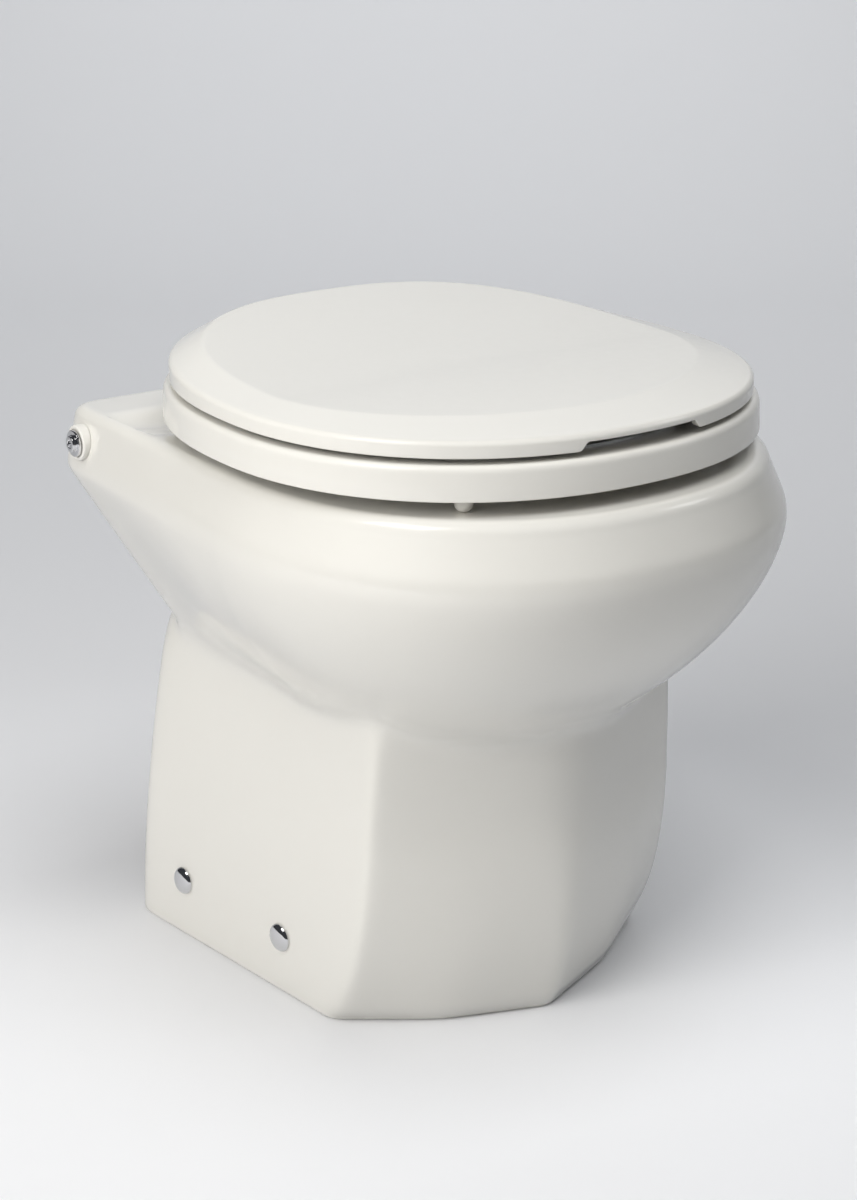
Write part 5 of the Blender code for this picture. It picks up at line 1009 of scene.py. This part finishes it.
def make_camera():
    camera = bpy.data.cameras.new("camera")
    camera.lens = FOCAL_PIXELS * SENSOR / PHOTO_HEIGHT
    camera.sensor_width = SENSOR
    camera.sensor_fit = "AUTO"
    camera.clip_end = 50
    obj = add_to_scene("camera", camera)
    turn = Matrix((CAMERA_RIGHT, CAMERA_UP, -Vector(CAMERA_FORWARD))).transposed().to_4x4()
    obj.matrix_world = Matrix.Translation(CAMERA_PLACE) @ turn
    bpy.context.scene.camera = obj


def make_light(name, place, target, size, power, colour, mirrored, cone):
    light = bpy.data.lights.new(name, "SPOT" if cone else "AREA")
    if cone:
        light.spot_size = math.radians(cone)
        light.spot_blend = 1.0
        light.shadow_soft_size = size[0]
    else:
        light.shape = "RECTANGLE"
        light.size, light.size_y = size
    light.energy = power
    light.color = colour
    obj = add_to_scene(name, light)
    direction = Vector(target) - Vector(place)
    obj.matrix_world = Matrix.Translation(place) @ direction.to_track_quat("-Z", "Y").to_matrix().to_4x4()
    obj.visible_glossy = mirrored


def make_sweep():
    """Seamless pale sweep: floor, quarter round and wall, square to the camera's heading. The camera sees
    it a little darker than the object does."""
    profile = np.array([(-4.0, 0.0), (2.2, 0.0)] + arc((2.2, 2.0), 2.0, -np.pi / 2, 0, 24) + [(4.2, 6.0)])
    sideways = np.array(CAMERA_RIGHT[:2])
    heading = np.array([-sideways[1], sideways[0]])
    rows = profile[:, None, :1] * heading + np.array([-5.0, 5.0])[None, :, None] * sideways
    height = np.broadcast_to(profile[:, 1:, None], rows.shape[:2] + (1,))
    rows = np.concatenate([rows, height], axis=-1)
    index = np.arange(len(profile) * 2).reshape(-1, 2)
    faces = np.stack([index[:-1, 0], index[:-1, 1], index[1:, 1], index[1:, 0]], axis=-1).tolist()
    mesh = bpy.data.meshes.new("studio_sweep")
    mesh.from_pydata(rows.reshape(-1, 3).tolist(), [], faces)
    mesh.shade_smooth()
    sweep = add_to_scene("studio_sweep", mesh)
    paper = bpy.data.materials.new("studio_paper")
    paper.use_nodes = True
    tree = paper.node_tree
    shader = tree.nodes["Principled BSDF"]
    seen = add_node(tree, "ShaderNodeLightPath")
    shade = add_node(tree, "ShaderNodeMix", data_type="RGBA")
    shade.inputs["A"].default_value = (0.73, 0.735, 0.75, 1)
    shade.inputs["B"].default_value = (0.86, 0.865, 0.88, 1)
    tree.links.new(seen.outputs["Is Camera Ray"], shade.inputs["Factor"])
    tree.links.new(shade.outputs["Result"], shader.inputs["Base Color"])
    shader.inputs["Roughness"].default_value = 0.75
    mesh.materials.append(paper)


def make_studio():
    make_sweep()
    world = bpy.data.worlds.new("studio_world")
    bpy.context.scene.world = world
    world.use_nodes = True
    background = world.node_tree.nodes["Background"]
    background.inputs["Color"].default_value = (0.86, 0.90, 1.0, 1)
    background.inputs["Strength"].default_value = 0.05
    for light in LIGHTS:
        make_light(*light)
    bpy.context.scene.view_settings.view_transform = "Standard"


# ---------------------------------------------------------------- materials


def add_node(tree, kind, **values):
    node = tree.nodes.new(kind)
    for name, value in values.items():
        setattr(node, name, value)
    return node


def variation_group():
    """Soft change of colour and gloss over a surface, from two sizes of noise: colour, roughness, height."""
    group = bpy.data.node_groups.new("soft_variation", "ShaderNodeTree")
    for name, kind, value in (
        ("Base", "NodeSocketColor", (0.8, 0.8, 0.8, 1)),
        ("Tint", "NodeSocketColor", (0.7, 0.7, 0.7, 1)),
        ("Size", "NodeSocketFloat", 6.0),
        ("Fine size", "NodeSocketFloat", 90.0),
        ("Amount", "NodeSocketFloat", 0.5),
        ("Gloss low", "NodeSocketFloat", 0.1),
        ("Gloss high", "NodeSocketFloat", 0.2),
        ("Stretch", "NodeSocketVector", (1.0, 1.0, 1.0)),
    ):
        socket = group.interface.new_socket(name=name, in_out="INPUT", socket_type=kind)
        socket.default_value = value
    for name, kind in (
        ("Colour", "NodeSocketColor"),
        ("Roughness", "NodeSocketFloat"),
        ("Height", "NodeSocketFloat"),
    ):
        group.interface.new_socket(name=name, in_out="OUTPUT", socket_type=kind)
    start = add_node(group, "NodeGroupInput")
    end = add_node(group, "NodeGroupOutput")
    place = add_node(group, "ShaderNodeTexCoord")
    stretch = add_node(group, "ShaderNodeVectorMath", operation="MULTIPLY")
    broad = add_node(group, "ShaderNodeTexNoise", noise_dimensions="3D")
    broad.inputs["Detail"].default_value = 3.0
    fine = add_node(group, "ShaderNodeTexNoise", noise_dimensions="3D")
    fine.inputs["Detail"].default_value = 4.0
    blend = add_node(group, "ShaderNodeMix", data_type="RGBA")
    share = add_node(group, "ShaderNodeMath", operation="MULTIPLY")
    gloss = add_node(group, "ShaderNodeMapRange")
    gloss.inputs["From Min"].default_value = 0.3
    gloss.inputs["From Max"].default_value = 0.7
    link = group.links.new
    link(place.outputs["Object"], stretch.inputs[0])
    link(start.outputs["Stretch"], stretch.inputs[1])
    link(stretch.outputs[0], broad.inputs["Vector"])
    link(stretch.outputs[0], fine.inputs["Vector"])
    link(start.outputs["Size"], broad.inputs["Scale"])
    link(start.outputs["Fine size"], fine.inputs["Scale"])
    link(broad.outputs["Fac"], share.inputs[0])
    link(start.outputs["Amount"], share.inputs[1])
    link(share.outputs[0], blend.inputs["Factor"])
    link(start.outputs["Base"], blend.inputs["A"])
    link(start.outputs["Tint"], blend.inputs["B"])
    link(fine.outputs["Fac"], gloss.inputs["Value"])
    link(start.outputs["Gloss low"], gloss.inputs["To Min"])
    link(start.outputs["Gloss high"], gloss.inputs["To Max"])
    link(blend.outputs["Result"], end.inputs["Colour"])
    link(gloss.outputs["Result"], end.inputs["Roughness"])
    link(fine.outputs["Fac"], end.inputs["Height"])
    return group


def make_material(
    group, name, base, tint, gloss, sizes, amount=0.5, bump=0.0, reach=0.0002, stretch=(1, 1, 1), **sockets
):
    """Principled material whose colour, roughness and relief come from the shared variation group."""
    material = bpy.data.materials.new(name)
    material.use_nodes = True
    tree = material.node_tree
    shader = tree.nodes["Principled BSDF"]
    varied = add_node(tree, "ShaderNodeGroup", node_tree=group)
    for socket, value in (
        ("Base", (*base, 1)),
        ("Tint", (*tint, 1)),
        ("Size", sizes[0]),
        ("Fine size", sizes[1]),
        ("Amount", amount),
        ("Gloss low", gloss[0]),
        ("Gloss high", gloss[1]),
        ("Stretch", stretch),
    ):
        varied.inputs[socket].default_value = value
    tree.links.new(varied.outputs["Colour"], shader.inputs["Base Color"])
    tree.links.new(varied.outputs["Roughness"], shader.inputs["Roughness"])
    if bump:
        relief = add_node(tree, "ShaderNodeBump")
        relief.inputs["Strength"].default_value = bump
        relief.inputs["Distance"].default_value = reach
        tree.links.new(varied.outputs["Height"], relief.inputs["Height"])
        tree.links.new(relief.outputs["Normal"], shader.inputs["Normal"])
    for socket, value in sockets.items():
        shader.inputs[socket.replace("_", " ")].default_value = value
    return material


def make_materials():
    group = variation_group()
    return {slot: make_material(group, **look) for slot, look in FINISHES.items()}


# ---------------------------------------------------------------- machinery under the bowl


def pump_places():
    """Places along the pump's axis, from the wear plate to the motor's end cap."""
    at = {"split": -0.0220}
    at["plate_back"] = at["split"] - GAP - 0.0027
    at["volute_front"] = at["plate_back"] - GAP
    at["volute_inner"] = at["volute_front"] - 0.0172
    at["volute_back"] = at["volute_inner"] - 0.0050
    at["lantern_end"] = at["volute_back"] - 0.0105
    at["motor_front"] = at["lantern_end"] - GAP
    at["motor_back"] = at["motor_front"] - 0.0520
    at["cap_front"] = at["motor_back"] - GAP
    at["cap_back"] = at["cap_front"] - 0.0090
    return at


def funnel(name, rings):
    """Stack of upright circles of (middle x, radius, height)."""
    angle = np.linspace(0, 2 * np.pi, 72, endpoint=False)
    rows = [
        np.stack([x + r * np.cos(angle), PUMP_Y + r * np.sin(angle), np.full(72, z)], axis=-1)
        for x, r, z in rings
    ]
    return skin(name, rows)


def make_intake(finishes):
    """Gasket under the spigot, and the chamber below it: a drum with a neck, both hollowed out."""
    low, top, soft = 0.1467, 0.1497, 0.0006
    corners = [(SPIGOT_BORE, low, soft), (SPIGOT_RADIUS, low, soft)]
    corners += [(SPIGOT_RADIUS, top, soft), (SPIGOT_BORE, top, soft)]
    turned(finishes, "outlet_gasket", "ring", "rubber", corners, axis_z(0, PUMP_Y), ROUND, 3, True)
    flange_top = 0.1464
    flange_low = flange_top - 0.0060
    place = axis_x(0, PUMP_Y, PUMP_Z)
    corners = [(0, -0.0220, 0), (0.0540, -0.0220, 0.0008), (0.0540, -0.0160, 0.0008)]
    corners += [(0.0460, -0.0160, 0.0015), (0.0460, 0.0440, 0.0080), (0, 0.0440, 0)]
    body = lathe("intake_chamber_casing", corners, place)
    middle, neck_top = 0.009, 0.1285
    rings = [(middle, 0.0305, 0.0907), (middle, 0.0305, neck_top), (0, 0.0410, flange_low)]
    neck = funnel("neck", rings + [(0, SPIGOT_RADIUS, flange_low), (0, SPIGOT_RADIUS, flange_top)])
    cut(body, neck, join=True)
    corners = [(0, -0.0400, 0), (0.0410, -0.0400, 0), (0.0410, 0.0390, 0.006), (0, 0.0390, 0)]
    bore = lathe("bore", corners, place)
    rings = [(middle, 0.0265, 0.0891), (middle, 0.0265, neck_top)]
    throat = funnel("throat", rings + [(0, 0.0370, flange_low), (0, 0.0370, flange_top + 0.01)])
    cut(body, bore, throat)
    finish_piece(body, finishes, "pedestal", "pump_plastic", "intake_chamber")


def make_housing(finishes, at, place):
    """Volute and lantern in one ring section, with the outlet's flanged neck."""
    front, inner, back, end = at["volute_front"], at["volute_inner"], at["volute_back"], at["lantern_end"]
    corners = [
        (0.0405, front, 0.0004),
        (0.0405, inner, 0.003),
        (0.0123, inner, 0.0004),
        (0.0123, back, 0.0004),
        (0.0240, back, 0.001),
        (0.0240, end, 0.0004),
        (0.0300, end, 0.0008),
        (0.0300, back, 0.003),
        (0.0500, back, 0.004),
        (0.0500, front, 0.0006),
    ]
    housing = lathe("macerator_housing_casing", corners, place, ROUND, 4, True)
    across = axis_y(OUTLET_X, 0, PUMP_Z)
    corners = [(0, 0.0665, 0), (0.0210, 0.0665, 0), (0.0210, 0.0940, 0.002)]
    corners += [(0.0280, 0.0940, 0.0008), (0.0280, OUTLET_END, 0.0006), (0, OUTLET_END, 0)]
    cut(housing, lathe("outlet_neck", corners, across, 72), join=True)
    cut(housing, rod_cutter("outlet_bore", 0.0165, 0.0624, 0.1120, across))
    finish_piece(housing, finishes, "pedestal", "pump_plastic", "macerator_housing")


def make_motor(finishes, at, place):
    """Motor can, end cap with its cable gland, and the rubber feet."""
    front, back = at["motor_front"], at["motor_back"]
    corners = [
        (SHAFT_HOLE, front, 0.0002),
        (MOTOR_RADIUS, front, 0.0040),
        (MOTOR_RADIUS, back, 0.0006),
        (0.0305, back, 0.0006),
        (0.0305, front - 0.0030, 0.002),
        (SHAFT_HOLE, front - 0.0030, 0.0002),
    ]
    turned(finishes, "motor_can", "shell", "motor_paint", corners, place, ROUND, 5, True)
    front, back = at["cap_front"], at["cap_back"]
    middle = front - 0.0045
    corners = [
        (SHAFT_HOLE, front, 0.0002),
        (MOTOR_RADIUS, front, 0.0006),
        (MOTOR_RADIUS, middle, 0.0015),
        (0.0290, back, 0.0015),
        (0.0100, back, 0.0008),
        (SHAFT_HOLE, back, 0.0002),
    ]
    cap = lathe("motor_end_cap_moulding", corners, place, ROUND, 4, True)
    low, shoulder, top = PUMP_Z + MOTOR_RADIUS * 0.55, PUMP_Z + 0.0368, PUMP_Z + 0.0435
    corners = [(0, low, 0), (0.0038, low, 0), (0.0038, shoulder, 0.0006), (0.0027, top, 0.0006), (0, top, 0)]
    cut(cap, lathe("cable_gland", corners, axis_z(middle, PUMP_Y), 40), join=True)
    finish_piece(cap, finishes, "pedestal", "pump_plastic", "motor_end_cap")
    corners = [(0, GAP, 0), (0.0100, GAP, 0.0012), (0.0090, 0.0057, 0.0006), (0, 0.0057, 0)]
    for sign, end_name in ((-1, "front"), (1, "rear")):
        spot = axis_z(-0.0850, PUMP_Y + sign * 0.0320)
        turned(finishes, f"rubber_foot_{end_name}", "pad", "rubber", corners, spot, 48)


def make_discharge(finishes):
    """Hose tail: bore, flange, and three saw-tooth barbs near its end."""
    start = OUTLET_END + GAP + 0.0030 + GAP
    end = BODY_HALF_DEPTH - 0.0010
    first = end - 0.0450
    pitch = 0.0150
    corners = [
        (0.0175, start, 0.0005),
        (0.0280, start, 0.0006),
        (0.0280, start + 0.0060, 0.0006),
        (0.0215, start + 0.0060, 0.0020),
        (0.0215, first, 0.0008),
    ]
    barb = ((0.0190, 0.02, 0.0003), (0.0203, 0.35, 0.0004), (0.0190, 0.95, 0.0004))
    for k in range(3):
        for radius, share, rounding in barb:
            corners.append((radius, first + pitch * (k + share), rounding))
    corners += [(0.0177, end, 0.0005), (0.0162, end, 0.0004), (0.0162, first, 0.002)]
    place = axis_y(OUTLET_X, 0, PUMP_Z)
    tail = turned(finishes, "discharge_tail", "moulding", "pump_plastic", corners, place, ROUND, 3, True)
    tail.data.set_sharp_from_angle(angle=math.radians(45))


def make_rinse(finishes):
    """Nozzle in the basin's wall, the hose to it from the valve, and the valve's coil and spring."""
    inner = nozzle_inner_y()
    start, step = inner - 0.0030 - 0.0026, inner + WALL * 1.6
    end = step + 0.0200
    corners = [
        (0.0030, start, 0.0004),
        (0.0084, start, 0.0010),
        (0.0105, start + 0.0015, 0.0006),
        (0.0105, start + 0.0030, 0.0004),
        (0.0085, start + 0.0030, 0.0003),
        (0.0085, step, 0.0006),
        (0.0062, step, 0.0006),
        (0.0062, end, 0.0008),
        (0.0030, end, 0.0003),
    ]
    place = axis_y(0, 0, NOZZLE_Z)
    turned(finishes, "rinse_nozzle", "moulding", "white_plastic", corners, place, 64, 3, True)
    grip = 0.0150
    stub = VALVE_X - 0.0130 - 0.0200
    low, high = np.array([stub + grip, VALVE_Y, VALVE_Z]), np.array([0, end - grip, NOZZLE_Z])
    first, last = low - (grip, 0, 0), high + (0, grip, 0)
    leave, arrive = first - (0.0600, 0, 0), last + (0, 0.0420, 0)
    t = np.linspace(0, 1, 11)[:, None]
    bend = first * (1 - t) ** 3 + leave * 3 * t * (1 - t) ** 2 + arrive * 3 * t**2 * (1 - t) + last * t**3
    path = rounded(np.vstack([low, bend, high]), 0.02, 6)
    hose = tube("rinse_hose_tube", path, 0.0093, 0.0069, 32)
    hose.data.set_sharp_from_angle(angle=math.radians(50))
    finish_piece(hose, finishes, "pedestal", "hose", "rinse_hose")
    bore, outside, low, top = 0.0078, 0.0160, 0.1280, 0.1560
    corners = [(bore, low, 0.0004), (outside, low, 0.0016), (outside, top, 0.0016), (bore, top, 0.0004)]
    turned(finishes, "rinse_coil", "moulding", "motor_paint", corners, axis_z(VALVE_X, VALVE_Y), 64, 4, True)
    spin = 2 * np.pi * np.linspace(0, 5, 161)
    height = np.linspace(PLUNGER_TOP + PLUNGER_STROKE + 0.0006, 0.1604, 161)
    path = np.stack([VALVE_X + 0.0040 * np.cos(spin), VALVE_Y + 0.0040 * np.sin(spin), height], axis=-1)
    spring = tube("rinse_spring_wire", path, 0.0005, 0.0, 10)
    finish_piece(spring, finishes, "pedestal", "steel", "rinse_spring")


def dress_nodes(frame, finishes):
    """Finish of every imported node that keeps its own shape."""
    slots = {entry["node"]: entry["material_slot"] for entry in frame["record"]["subparts"]}
    for node, obj in frame["nodes"].items():
        finish = finishes[slots[node]]
        if obj.material_slots:
            obj.material_slots[0].material = finish
        else:
            obj.data.materials.append(finish)


def main():
    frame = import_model()
    finishes = make_materials()
    dress_nodes(frame, finishes)
    make_ceramic(finishes)
    make_seat_and_lid(finishes)
    make_hinge_ends(finishes)
    make_caps(finishes)
    make_intake(finishes)
    at, place = pump_places(), axis_x(0, PUMP_Y, PUMP_Z)
    make_housing(finishes, at, place)
    make_motor(finishes, at, place)
    make_discharge(finishes)
    make_rinse(finishes)
    make_studio()
    make_camera()


main()
